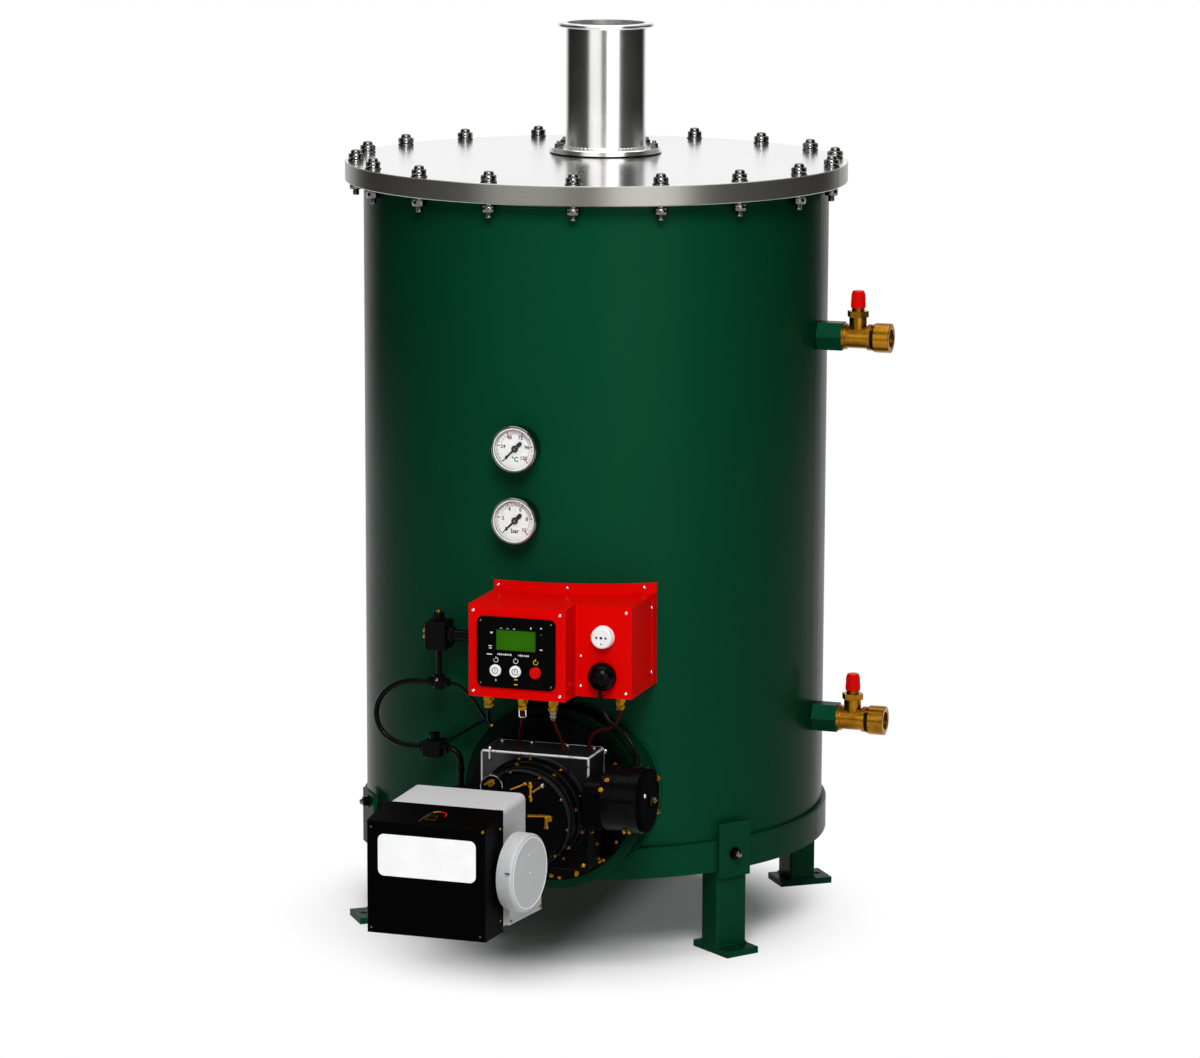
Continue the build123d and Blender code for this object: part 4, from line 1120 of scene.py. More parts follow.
class HEATER_OT_control_panel(bpy.types.Operator):
    """Finish the panel, its display and buttons, and print plain marks round them"""

    bl_idname = "heater.control_panel"
    bl_label = "Control panel"

    def execute(self, context):
        dress("panel_gloss", "control_panel")
        dress("lit_screen", "display_screen")
        dress("white_button", "panel_buttons")
        dress("red_button", "stop_button")
        depth = context.scene.heater_controls.print_rise
        low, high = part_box("control_panel")
        middle = ((low[0] + high[0]) / 2, low[1], (low[2] + high[2]) / 2)
        place = facing(middle, FRONT)
        marks = Bench()
        for across, rise, width, height in (
            (-0.045, 0.035, 0.0042, 0.003), (-0.0475, 0.011, 0.006, 0.0016), (-0.047, 0.007, 0.005, 0.0014),
            (-0.049, -0.004, 0.01, 0.0016), (0.028, 0.047, 0.0022, 0.0034), (0.047, 0.048, 0.0024, 0.0024),
            (0.047, 0.0095, 0.0046, 0.0018), (-0.037, -0.05, 0.0012, 0.0036),
        ):
            marks.bar(place, width, height, depth, "white_print", across, rise)
        for start, count in ((-0.033, 8), (0.006, 6)):
            for k in range(count):
                height = 0.0022 + 0.0006 * (k * 5 % 3)
                marks.bar(place, 0.002, height, depth, "white_print", start + 0.0034 * k, -0.003)
        for k in range(3):
            marks.bar(place, 0.004, 0.0008, depth, "white_print", -0.027 + 0.012 * k, 0.044)
        for across, name in ((-0.037, "white_print"), (0.0, "white_print"), (0.037, "yellow_print")):
            icon = moved(place, across, -0.0135)
            marks.arc(
                icon, 0.0042, 0.0009, radians(120.0 - 900.0 * across), radians(290.0), depth, name, 24,
            )
            marks.bar(icon, 0.001, 0.0042, depth, name, 0.0, 0.0036)
        for rise in (-0.047, -0.056):
            marks.bar(place, 0.0064, 0.0018, depth, "yellow_print", 0.0, rise)
        marks.bar(place, 0.0028, 0.0028, depth, "lit_screen", 0.047, 0.0365)
        for across in (-0.037, 0.0):
            face = moved(place, across, -0.032, 0.005)
            marks.arc(face, 0.0052, 0.0012, 0.0, 2 * pi, depth, "dial_ink", 32)
            marks.bar(face, 0.0012, 0.0048, depth, "dial_ink", 0.0, 0.0012)
        for across in (-0.037, 0.0, 0.037):
            collar = moved(place, across, -0.032)
            marks.turned(collar, [
                (0.0124, 0.0), (0.0124, 0.0008), (0.0116, 0.0014), (0.0106, 0.0014),
            ], "panel_gloss", 40)
        marks.piece("panel_marks", "button_white")
        frame_bench = Bench()
        screen = moved(place, 0.0, 0.023, -0.0008)
        frame_bench.stack(screen, [
            rounded(0.077, 0.041, 0.002, 0.0), rounded(0.0764, 0.0404, 0.0018, 0.0014),
            rounded(0.0732, 0.0372, 0.0008, 0.0014), rounded(0.0728, 0.0368, 0.0006, 0.0),
        ], "panel_gloss", OPEN)
        for across in (-0.0655, 0.0655):
            for rise in (-0.056, 0.056):
                corner = moved(place, across, rise)
                domed_screw(frame_bench, corner, 0.0018, 0.001, "plated_steel")
        frame_bench.piece("panel_frame_and_screws", "panel_black")
        return {"FINISHED"}


class HEATER_OT_signal_cap(bpy.types.Operator):
    """Finish the signal cap and cable dome, with the cap's marks and ribs and the dome's collar"""

    bl_idname = "heater.signal_cap"
    bl_label = "Signal cap and cable dome"

    def execute(self, context):
        dress("white_button", "signal_cap")
        dress("rubber_dome", "cable_dome")
        depth = context.scene.heater_controls.print_rise
        low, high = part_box("signal_cap")
        middle = ((low[0] + high[0]) / 2, low[1], (low[2] + high[2]) / 2)
        bench = Bench()
        face = facing(middle, FRONT)
        for k, across in enumerate((-0.0085, 0.0, 0.0085)):
            spot = moved(face, across, 0.0005) @ Matrix.Rotation(-pi / 2 + k * pi / 2, 4, "Z")
            bench.turned(spot, [(0.0032, 0.0), (0.0032, depth)], "dial_ink", 3 + (k % 2))
        bench.turned(moved(face, 0.0, -0.0105), [(0.0014, 0.0), (0.0014, depth)], "dial_ink", 12)
        reach = high[0] - middle[0]
        for x, z, _ in ring(1.0, 0.0, 36):
            spot = (middle[0] + reach * x, high[1] - 0.0065, middle[2] + reach * z)
            rib = facing(spot, (x, 0.0, z), FRONT)
            bench.slab(rib, 0.0016, 0.011, 0.0006, 0.0006, 0.0003, "white_button")
        back = facing((middle[0], high[1], middle[2]), FRONT)
        bench.turned(back, [
            (0.0203, 0.0), (0.0203, 0.0016), (0.0197, 0.0022), (0.019, 0.0022),
        ], "white_button", 48)
        bench.piece("signal_cap_marks", "button_white")
        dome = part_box("cable_dome")
        centre = ((dome[0][0] + dome[1][0]) / 2, dome[1][1], (dome[0][2] + dome[1][2]) / 2)
        base = Bench()
        base.turned(facing(centre, FRONT), [
            (0.024, 0.0), (0.024, 0.0018), (0.023, 0.0026), (0.0208, 0.0026), (0.0208, 0.006),
        ], "rubber_dome", 48)
        base.piece("cable_dome_collar", "dome_black")
        return {"FINISHED"}


class HEATER_OT_glands(bpy.types.Operator):
    """Add the washers, sealing nuts, ferrule and wire clip under the control box"""

    bl_idname = "heater.glands"
    bl_label = "Cable gland fittings"

    def execute(self, context):
        low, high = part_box("cable_glands")
        front, side_front = -0.545, -0.487
        bench = Bench()
        glands = ((-0.0199, front), (0.0437, front), (0.1005, front), (0.2056, side_front))
        for k, (x, y) in enumerate(glands):
            collar = facing((x, y, high[2]), DOWN, FRONT, 0.3 * k)
            plain_washer(bench, collar, 0.0122, 0.0014, "handled_brass")
            rim = facing((x, y, low[2] + 0.0085), DOWN, FRONT, 0.3 * k)
            bench.turned(rim, [
                (0.0084, 0.0), (0.0088, 0.001), (0.0088, 0.006), (0.0078, 0.0074),
            ], "handled_brass", 6)
        ferrule = facing((0.1005, front, low[2] + 0.0005), DOWN, FRONT)
        bench.turned(ferrule, [
            (0.0062, 0.0), (0.0062, 0.004), (0.005, 0.0046), (0.005, 0.0064), (0.006, 0.007),
            (0.006, 0.011), (0.0046, 0.0124), (0.0038, 0.016),
        ], "plated_steel", 24)
        clip = (
            (0.0377, low[2] + 0.006), (0.0377, low[2] - 0.012), (0.039, low[2] - 0.0138),
            (0.0484, low[2] - 0.0138), (0.0497, low[2] - 0.012), (0.0497, low[2] + 0.006),
        )
        bench.tube([(x, -0.5456, z) for x, z in clip], 0.0012, "screw_steel", 8)
        bench.piece("gland_fittings", "brass")
        return {"FINISHED"}


def round_burner(angle, radius, out):
    """Spot at an angle and radius about the burner's axis, at a distance out from the tank's axis."""
    return Vector((BURNER_X + radius * cos(angle), -out, BURNER_Z + radius * sin(angle)))


class HEATER_OT_burner(bpy.types.Operator):
    """Finish the burner's castings and set the brass bolts, silver pins and lug on them"""

    bl_idname = "heater.burner"
    bl_label = "Burner castings"

    def execute(self, context):
        # The mounting box's finish paints its light and shade as well as its worn edges
        dress("worn_casting", "burner_mount_box")
        dress("worn_rings", "burner_head", "head_flange")
        dress("black_casting", "fan_case")
        burner = context.scene.heater_burner
        studs = Bench()

        def stud(spot, direction, upright=UP, turn=0.0, wide=1.0, tall=1.0):
            place = facing(spot, direction, upright, turn)
            brass_stud(studs, place, burner.brass_screw_radius * wide, burner.brass_screw_height * tall)

        def lean_out(angle):
            return (cos(angle), -0.2, sin(angle))

        for k in range(10):
            stud(round_burner(radians(-149.0 + 20.0 * k), 0.141, FLANGE_OUT), FRONT, UP, 0.4 * k)
        for angle in (-83.0, -46.0, -70.0, 151.0, 211.0):
            stud(round_burner(radians(angle), 0.1445, FLANGE_OUT), FRONT, wide=0.8)
        for across, level in ((0.1655, 0.325), (0.164, 0.222), (-0.02, 0.222), (-0.02, 0.3)):
            stud((across, -MOUNT_OUT, level), FRONT, UP, 0.3, tall=1.3)
        for out, level in ((0.509, 0.222), (0.548, 0.28), (0.52, 0.252)):
            stud((0.173, -out, level), RIGHT, UP, 0.4)
        for degrees in (103.0, 91.0, 56.0, 22.0, -16.0, -52.0, -90.0, -128.0, 176.0, 140.0):
            angle = radians(degrees)
            stud(round_burner(angle, 0.095, 0.58), lean_out(angle), FRONT, wide=0.9, tall=1.4)
        for k in range(8):
            angle = radians(11.5 + 45.0 * k)
            stud(round_burner(angle, 0.0905, 0.6035), lean_out(angle), FRONT, tall=1.3)
        for k in range(10):
            stud(round_burner(radians(30.0 + 36.0 * k), 0.087, 0.64), FRONT, UP, 0.4 * k, wide=0.62)
        studs.piece("burner_brass_bolts", "brass")
        pins = Bench()
        pins.turned(facing((-0.0105, -0.564, 0.401), UP), [
            (0.0016, 0.0), (0.0026, 0.0012), (0.0026, 0.0215), (0.0016, 0.023),
        ], "screw_steel", 14)
        for across, out in ((-0.014, 0.489), (0.039, 0.482), (0.108, 0.486), (0.159, 0.49)):
            domed_screw(pins, facing((across, -out, 0.417), UP), 0.0036, 0.0024, "screw_steel")
        for angle in (137.0, 43.0):
            place = facing(round_burner(radians(angle), 0.14, FLANGE_OUT), FRONT)
            domed_screw(pins, place, 0.0042, 0.003, "screw_steel")
        lug = facing((0.185, -FLANGE_OUT, 0.245), FRONT)
        pins.slab(lug, 0.02, 0.052, 0.0085, 0.006, 0.002, "black_casting")
        pins.piece("burner_pins", "gauge_steel")
        return {"FINISHED"}


class HEATER_OT_nozzle_stems(bpy.types.Operator):
    """Add the brass stems, lever and ringed port on top of the fan case"""

    bl_idname = "heater.nozzle_stems"
    bl_label = "Nozzle stems and port"

    def execute(self, context):
        stems = Bench()
        post = facing((0.104, -0.68, 0.364), UP, FRONT)
        stems.turned(post, [
            (0.003, -0.004), (0.0044, 0.0), (0.005, 0.003), (0.0044, 0.0062), (0.003, 0.0074),
            (0.003, 0.02), (0.0044, 0.0212), (0.0048, 0.029), (0.0036, 0.0318), (0.0015, 0.0322),
        ], "handled_brass", 20)
        arms = (
            ((0.069, -0.685, 0.38), (0.089, -0.6665, 0.387), "handled_brass"),
            ((0.1055, -0.675, 0.3755), (0.1165, -0.653, 0.383), "screw_steel"),
        )
        for foot, tip, cap in arms:
            run = Vector(tip) - Vector(foot)
            stems.tube([foot, Vector(foot) + run * 0.5, tip], 0.002, "handled_brass", 12)
            stems.turned(facing(tip, run), [
                (0.003, -0.003), (0.004, -0.0018), (0.004, 0.0022), (0.0028, 0.0034),
            ], cap, 16)
        lever = [(0.103, -0.693, 0.338), (0.118, -0.68, 0.336), (0.1335, -0.665, 0.333)]
        stems.tube(lever, 0.0024, "handled_brass", 12)
        knuckle = facing((0.131, -0.667, 0.329), (0.7, -0.7, 0.1), UP)
        stems.slab(knuckle, 0.015, 0.01, 0.003, 0.006, 0.0012, "handled_brass")
        stems.turned(facing((0.129, -0.669, 0.325), (0.05, -0.05, -1.0), FRONT), [
            (0.0034, 0.0), (0.0034, 0.008), (0.0044, 0.009), (0.0044, 0.013), (0.003, 0.0142),
        ], "handled_brass", 6)
        port = facing((0.034, -0.66, 0.379), (0.04, -0.98, 0.16))
        stems.turned(port, [
            (0.02, -0.02), (0.02, 0.027), (0.0188, 0.0284), (0.016, 0.0284), (0.0156, 0.023),
        ], "black_casting", 48)
        stems.turned(port, [
            (0.0204, 0.0258), (0.0208, 0.027), (0.0208, 0.0282), (0.0198, 0.029), (0.0188, 0.0286),
        ], "plated_steel", 48, OPEN)
        hex_head(stems, moved(port, -0.002, 0.006, 0.023), 0.013, 0.006, "handled_brass")
        stems.tube([
            port @ Vector((-0.012, 0.003, 0.03)), port @ Vector((-0.002, 0.008, 0.031)),
            port @ Vector((0.006, 0.0115, 0.03)),
        ], 0.0026, "handled_brass", 12)
        stems.piece("burner_nozzle_stems", "brass")
        return {"FINISHED"}


class HEATER_OT_front_cover(bpy.types.Operator):
    """Finish the housing and front cover, with the bare plate, screws and wire clip"""

    bl_idname = "heater.front_cover"
    bl_label = "Housing and front cover"

    def execute(self, context):
        dress("edged_enamel", "burner_housing")
        dress("grey_enamel", "air_intake_box", "air_intake_cover")
        dress("black_cover", "burner_front_cover")
        burner = context.scene.heater_burner
        low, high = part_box("burner_front_cover")
        front = low[1]
        plate = Bench()
        plate.slab(
            facing((0.0025, front, 0.3115), FRONT), burner.plate_width, burner.plate_height,
            burner.plate_corner, 0.0016, 0.0006, "bare_plate",
        )
        plate.piece("front_cover_plate", "button_white")
        screws = Bench()
        left, right = low[0] + 0.0085, high[0] - 0.0085
        foot, head = low[2] + 0.015, high[2] - 0.022
        slant = Vector((0.988, -0.155, 0.0)).normalized()
        rows = [
            ((across, front, level), FRONT, across * 9, 0.0017, 0.0011)
            for across, level in ((left, foot), (left, head), (right, foot))
        ]
        rows += [((high[0], -0.846, level), RIGHT, 0.0, 0.0024, 0.0014) for level in (0.19, 0.352)]
        rows += [
            ((0.1373, -0.7215, 0.186), slant, 0.0, 0.0034, 0.0024),
            ((0.1205, -0.829, 0.186), slant, 0.0, 0.0026, 0.0018),
            ((0.1032, front, 0.3655), FRONT, 0.0, 0.0026, 0.0016),
        ]
        for spot, direction, turn, radius, height in rows:
            domed_screw(screws, facing(spot, direction, UP, turn), radius, height, "handled_brass")
        screws.piece("front_cover_screws", "brass")
        face = facing((0.152, -0.8198, 0.272), slant)
        dots = Bench()
        for along, rise in ((0.0, 0.0), (-0.005, 0.033), (0.006, 0.033)):
            domed_screw(dots, moved(face, along, rise), 0.0018, 0.0008, "screw_steel")
        # A thin white ring on the rim of the cover's disc: a painted highlight on its edge
        dots.turned(moved(face, out=-0.0004), [
            (0.0622, 0.0), (0.0618, 0.0008), (0.061, 0.0008), (0.0606, 0.0),
        ], "bare_plate", 72, OPEN)
        notch = facing((0.134, -0.887, 0.286), (-0.155, -0.988, 0.05), UP)
        dots.slab(notch, 0.01, 0.0022, 0.0008, 0.0006, 0.0002, "black_casting")
        dots.piece("air_intake_cover_details", "housing_grey")
        clip = Bench()
        slope = Vector((0.0, -(high[1] - low[1]), -0.012)).normalized()
        normal = Vector((0.0, -0.1253, 0.9921))
        root = Vector((0.0, -0.893, 0.3732))
        place = facing(root, normal, -slope)
        clip.stack(place, [
            rounded(0.019, 0.021, 0.001, 0.0), rounded(0.019, 0.021, 0.001, 0.0018),
            rounded(0.014, 0.014, 0.0008, 0.0018), rounded(0.014, 0.014, 0.0008, 0.0),
        ], "handled_brass", OPEN)
        wire = [place @ Vector((-0.016, -0.019, 0.001)), place @ Vector((-0.012, 0.006, 0.0012))]
        for i in range(15):
            angle = radians(170.0 - 14.0 * i)
            wire.append(place @ Vector((0.006 + 0.015 * cos(angle), 0.015 + 0.013 * sin(angle), 0.0016)))
        clip.tube(wire[:9], 0.0011, "handled_brass", 8)
        clip.tube(wire[8:], 0.0012, "red_button", 8)
        clip.piece("front_cover_wire_clip", "brass")
        return {"FINISHED"}


class HEATER_OT_motor(bpy.types.Operator):
    """Shape the fan motor's bells, band and neck, and set its bolts and cable entry"""

    bl_idname = "heater.motor"
    bl_label = "Fan motor"

    def execute(self, context):
        dress("matt_casting", "motor_end_cover")
        body = Bench()
        axis = facing((0.173, MOTOR_Y, MOTOR_Z), RIGHT)
        body.turned(axis, [
            (0.036, 0.0002), (0.036, 0.033), (0.054, 0.035), (0.0575, 0.038), (0.058, 0.044),
            (0.058, 0.056), (0.0566, 0.0572), (0.0566, 0.083), (0.059, 0.0842), (0.059, 0.1025),
            (0.058, 0.1038),
        ], "motor_gloss", 72)
        neck = facing((0.1732, -0.56, 0.333), RIGHT)
        body.slab(neck, 0.084, 0.072, 0.008, 0.036, 0.003, "black_casting")
        motor = body.piece("fan_motor_body", "cast_black")
        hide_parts("fan_motor")
        low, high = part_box("motor_end_cover")
        hub = Vector((high[0], (low[1] + high[1]) / 2, (low[2] + high[2]) / 2))
        bench = Bench()
        for angle in (radians(35.0), radians(325.0)):
            spot = hub + Vector((-0.004, 0.053 * cos(angle), 0.053 * sin(angle)))
            brass_stud(bench, facing(spot, RIGHT, UP, 0.5), 0.0052, 0.009)
        brass_stud(bench, facing(hub + Vector((0.0, 0.017, -0.003)), RIGHT), 0.0056, 0.007)
        for across, turn, reach, radius in (
            (0.248, -60.0, 0.058, 0.0042), (0.2575, -60.0, 0.058, 0.0042),
            (0.212, 26.0, 0.057, 0.0046), (0.22, 44.0, 0.057, 0.0046),
        ):
            lean = (0.0, -cos(radians(turn)), sin(radians(turn)))
            spot = (across, MOTOR_Y + reach * lean[1], MOTOR_Z + reach * lean[2])
            brass_stud(bench, facing(spot, lean), radius, 0.006)
        domed_screw(bench, facing(hub + Vector((0.0, -0.033, 0.016)), RIGHT), 0.004, 0.0026, "screw_steel")
        bench.turned(facing(hub, RIGHT), [
            (0.009, 0.0), (0.009, 0.002), (0.0075, 0.0032), (0.003, 0.0036),
        ], "black_casting", 32)
        bench.piece("motor_bolts", "brass")
        entry = Bench()
        mouth = facing((0.262, MOTOR_Y, 0.406), UP, FRONT)
        entry.turned(mouth, [(0.011, -0.004), (0.011, 0.0026), (0.0094, 0.0036)], "black_fitting", 6)
        entry.turned(mouth, [
            (0.0074, 0.003), (0.0074, 0.007), (0.006, 0.011), (0.005, 0.019), (0.0043, 0.022),
        ], "cord_rubber", 24)
        entry.piece("motor_cable_entry", "hose_black")
        return {"FINISHED"}


class HEATER_OT_water_valves(bpy.types.Operator):
    """Finish the brass tees, and add threads, collars, cap ribs and seat rings"""

    bl_idname = "heater.water_valves"
    bl_label = "Water valves"

    def execute(self, context):
        dress("handled_brass", "valve_tees", "tee_end_nuts", "relief_valves")
        dress("red_button", "relief_caps")
        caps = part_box("relief_caps")
        branch = (caps[0][0] + caps[1][0]) / 2
        brass = Bench()
        ribs = Bench()
        for level in TEE_LEVELS:
            run = facing((0.4763, 0.0, level), RIGHT)
            end = facing((0.5653, 0.0, level), RIGHT)
            neck = facing((branch, 0.0, level + 0.048), UP)
            rings = [
                (run, 40, [(0.0215, -0.003), (0.0232, -0.0016), (0.0232, -0.0002), (0.0215, 0.0004)]),
                (end, 48, [
                    (0.0262, -0.0004), (0.025, 0.0008), (0.019, 0.0008), (0.0168, -0.0012),
                    (0.0163, -0.006),
                ]),
            ]
            for k in range(7):
                depth = -0.007 - 0.0022 * k
                rings.append(
                    (end, 40, [(0.0166, depth), (0.0154, depth - 0.0011), (0.0166, depth - 0.0022)]),
                )
            for k in range(3):
                base = 0.0004 + 0.0018 * k
                rings.append((neck, 32, [(0.0113, base), (0.0121, base + 0.0008), (0.0113, base + 0.0016)]))
            for place, sides, outline in rings:
                brass.turned(place, outline, "handled_brass", sides, OPEN)
            cap = facing((branch, 0.0, level + 0.054), UP)
            for x, y, _ in ring(1.0, 0.0, 20):
                rib = facing(cap @ Vector((0.0123 * x, 0.0123 * y, 0.014)), (x, y, 0.048), UP)
                ribs.slab(rib, 0.0016, 0.023, 0.0007, 0.001, 0.0005, "red_button")
            ribs.turned(cap, [
                (0.0134, 0.0), (0.0136, 0.001), (0.0136, 0.0022), (0.0128, 0.003),
            ], "red_button", 40)
        brass.piece("valve_threads", "brass")
        ribs.piece("relief_cap_ribs", "button_red")
        return {"FINISHED"}


class HEATER_OT_side_set(bpy.types.Operator):
    """Finish the pressure switch, fuel valve and pipework, with their brass screws and unions"""

    bl_idname = "heater.side_set"
    bl_label = "Switch and fuel valve"

    def execute(self, context):
        dress("black_fitting", "pressure_switch", "switch_pipe", "drop_pipe", "fuel_valve", "fuel_pipe")
        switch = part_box("pressure_switch")
        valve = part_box("fuel_valve")
        bench = Bench()
        for rise in (0.599, 0.588):
            place = facing((switch[0][0], SIDE_Y, rise), LEFT)
            bench.turned(place, [(0.0042, 0.0), (0.0042, 0.008), (0.003, 0.0094)], "handled_brass", 18)
            hex_head(bench, place, 0.01, 0.0034, "handled_brass")
        top = facing((SWITCH_X, SIDE_Y, switch[1][2]), UP)
        bench.turned(top, [
            (0.0048, -0.001), (0.0048, 0.003), (0.0036, 0.0046), (0.0015, 0.0052),
        ], "handled_brass", 20)
        for x, y, _ in ring(1.0, 0.0, 14):
            spot = (SWITCH_X + 0.0099 * x, SIDE_Y + 0.0099 * y, switch[1][2] - 0.007)
            rib = facing(spot, (x, y, 0.0), UP)
            bench.slab(rib, 0.0018, 0.011, 0.0006, 0.0009, 0.0004, "black_fitting")
        for x in (-0.054, -0.129):
            hex_head(bench, facing((x, SIDE_Y, SWITCH_Z), LEFT), 0.0285, 0.006, "black_fitting", True)
        nut = facing((-0.05, SIDE_Y, SWITCH_Z), LEFT)
        bench.turned(nut, [(0.0168, 0.0), (0.0168, 0.003), (0.0158, 0.0038)], "handled_brass", 6)
        for rise in (0.0165, -0.0165):
            for across in (-0.0135, 0.0135):
                place = facing((SWITCH_X + across, switch[0][1], SWITCH_Z + rise), FRONT)
                domed_screw(bench, place, 0.0024, 0.0014, "black_fitting")
        drain = facing((valve[0][0] + 0.004, -0.449, valve[0][2] + 0.004), (-0.8, -0.5, -0.7))
        bench.turned(drain, [(0.0048, -0.004), (0.0048, 0.007), (0.0034, 0.0086)], "handled_brass", 6)
        for across, level in ((-0.17, 0.388), (-0.149, 0.39)):
            domed_screw(bench, facing((across, valve[0][1], level), FRONT), 0.003, 0.0018, "black_fitting")
        for x, direction in ((valve[0][0], LEFT), (valve[1][0], RIGHT)):
            hex_head(
                bench, facing((x, SIDE_Y, FUEL_VALVE_Z), direction), 0.018, 0.009, "black_fitting", True,
            )
        wheel = facing((-0.159, SIDE_Y, valve[1][2] - 0.006), UP)
        bench.turned(wheel, [
            (0.009, 0.0), (0.0104, 0.0008), (0.0104, 0.0052), (0.009, 0.006),
        ], "black_fitting", 10)
        bench.turned(wheel, [(0.003, 0.0055), (0.003, 0.0078), (0.0018, 0.0084)], "plated_steel", 16)
        bench.piece("switch_and_valve_fittings", "fitting_black")
        unions = Bench()
        tee = facing((SWITCH_X, SIDE_Y, SIDE_TEE_Z), LEFT)
        unions.turned(tee, [(0.0075, -0.02), (0.0075, 0.02)], "black_fitting", 24)
        for x, direction in ((-0.16, LEFT), (-0.14, RIGHT)):
            hex_head(
                unions, facing((x, SIDE_Y, SIDE_TEE_Z), direction), 0.016, 0.008, "black_fitting", True,
            )
        domed_screw(unions, facing((SWITCH_X, -0.456, 0.512), FRONT), 0.003, 0.0018, "plated_steel")
        hex_head(unions, facing((-0.029, -0.518, 0.3), LEFT), 0.017, 0.011, "handled_brass", True)
        unions.turned(facing((-0.109, SIDE_Y, 0.352), DOWN, FRONT), [
            (0.0061, -0.001), (0.0068, 0.0), (0.0068, 0.01), (0.0061, 0.011),
        ], "black_fitting", 24)
        impulse = [
            (-0.148, -0.449, 0.3915), (-0.127, -0.448, 0.402), (-0.1, -0.447, 0.419),
            (-0.076, -0.447, 0.4345), (-0.062, -0.447, 0.441), (-0.053, -0.447, 0.442),
            (-0.048, -0.447, 0.4385), (-0.0465, -0.447, 0.431),
        ]
        unions.tube(impulse, 0.0026, "black_fitting", 12)
        hex_head(unions, facing((-0.0465, -0.447, 0.432), UP, FRONT), 0.01, 0.005, "handled_brass", True)
        unions.piece("pipe_unions", "fitting_black")
        return {"FINISHED"}


def lay_cord(name, route, radius, finish_name, node_name):
    """A cord on one smooth spline through its route's control points, in place of its CAD solid."""
    curve = bpy.data.curves.new(name, "CURVE")
    curve.dimensions = "3D"
    spline = curve.splines.new("NURBS")
    spline.points.add(len(route) - 1)
    for point, spot in zip(spline.points, route):
        point.co = (*spot, 1.0)
    spline.order_u = 3
    spline.use_endpoint_u = True
    spline.resolution_u = 12
    curve.bevel_depth = radius
    curve.bevel_resolution = 5
    curve.use_fill_caps = True
    curve.materials.append(finish(finish_name))
    made = bpy.data.objects.new(name, curve)
    bpy.context.scene.collection.objects.link(made)
    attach(made, "root")
    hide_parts(node_name)


class HEATER_OT_cords(bpy.types.Operator):
    """Lay the hose and the leads on their routes"""

    bl_idname = "heater.cords"
    bl_label = "Hose and leads"

    def execute(self, context):
        lay_cord("hose_loop_cord", [
            (-0.1613, -0.445, 0.506), (-0.198, -0.445, 0.506), (-0.236, -0.443, 0.497),
            (-0.266, -0.439, 0.471), (-0.277, -0.437, 0.436), (-0.264, -0.439, 0.403),
            (-0.233, -0.443, 0.386), (-0.205, -0.445, 0.384), (-0.1773, -0.445, 0.384),
        ], 0.005, "cord_rubber", "hose_loop")
        lay_cord("sensor_lead_cord", [
            (-0.1387, -0.445, 0.506), (-0.118, -0.445, 0.506), (-0.097, -0.449, 0.494),
            (-0.076, -0.46, 0.479), (-0.058, -0.48, 0.466), (-0.038, -0.509, 0.458),
            (-0.0262, -0.5324, 0.4609), (-0.0199, -0.545, 0.475), (-0.0199, -0.545, 0.4908),
        ], 0.003, "cord_rubber", "sensor_lead")
        lay_cord("panel_lead_cord", [
            (0.1005, -0.545, 0.4908), (0.1005, -0.545, 0.4708), (0.118, -0.54, 0.4372),
            (0.118, -0.54, 0.4172),
        ], 0.003, "red_silicone", "burner_leads")
        lay_cord("side_lead_cord", [
            (0.2056, -0.487, 0.4908), (0.2056, -0.487, 0.4768), (0.195, -0.4896, 0.4578),
            (0.1626, -0.4974, 0.4502), (0.152, -0.5, 0.4312), (0.152, -0.5, 0.4172),
        ], 0.003, "red_silicone", "burner_leads")
        lay_cord("clip_lead_cord", [
            (0.0437, -0.545, 0.4908), (0.0437, -0.545, 0.4688), (0.029, -0.517, 0.4392),
            (0.029, -0.517, 0.4172),
        ], 0.003, "red_silicone", "burner_leads")
        lay_cord("motor_lead_cord", [
            (0.1825, -0.53, 0.5297), (0.1825, -0.53, 0.5163), (0.1924, -0.534, 0.4917),
            (0.2106, -0.5413, 0.4734), (0.234, -0.5507, 0.4644), (0.2522, -0.558, 0.4462),
            (0.262, -0.562, 0.4216), (0.262, -0.562, 0.4083),
        ], 0.004, "cord_rubber", "motor_lead")
        return {"FINISHED"}


def softbox(name, azimuth, distance, width, low, high, level, card=False):
    """Upright softbox that faces the tank's axis, out of the camera's sight.

    A card shows in shiny surfaces only.
    """
    lamp = bpy.data.lights.new(name, "AREA")
    lamp.shape = "RECTANGLE"
    lamp.size = width
    lamp.size_y = high - low
    lamp.energy = level * pi * width * (high - low)
    made = bpy.data.objects.new(name, lamp)
    made.location = (distance * sin(azimuth), -distance * cos(azimuth), (low + high) / 2)
    made.rotation_euler = (pi / 2, 0.0, azimuth)
    made.visible_camera = False
    made.visible_diffuse = not card
    bpy.context.scene.collection.objects.link(made)
    return made


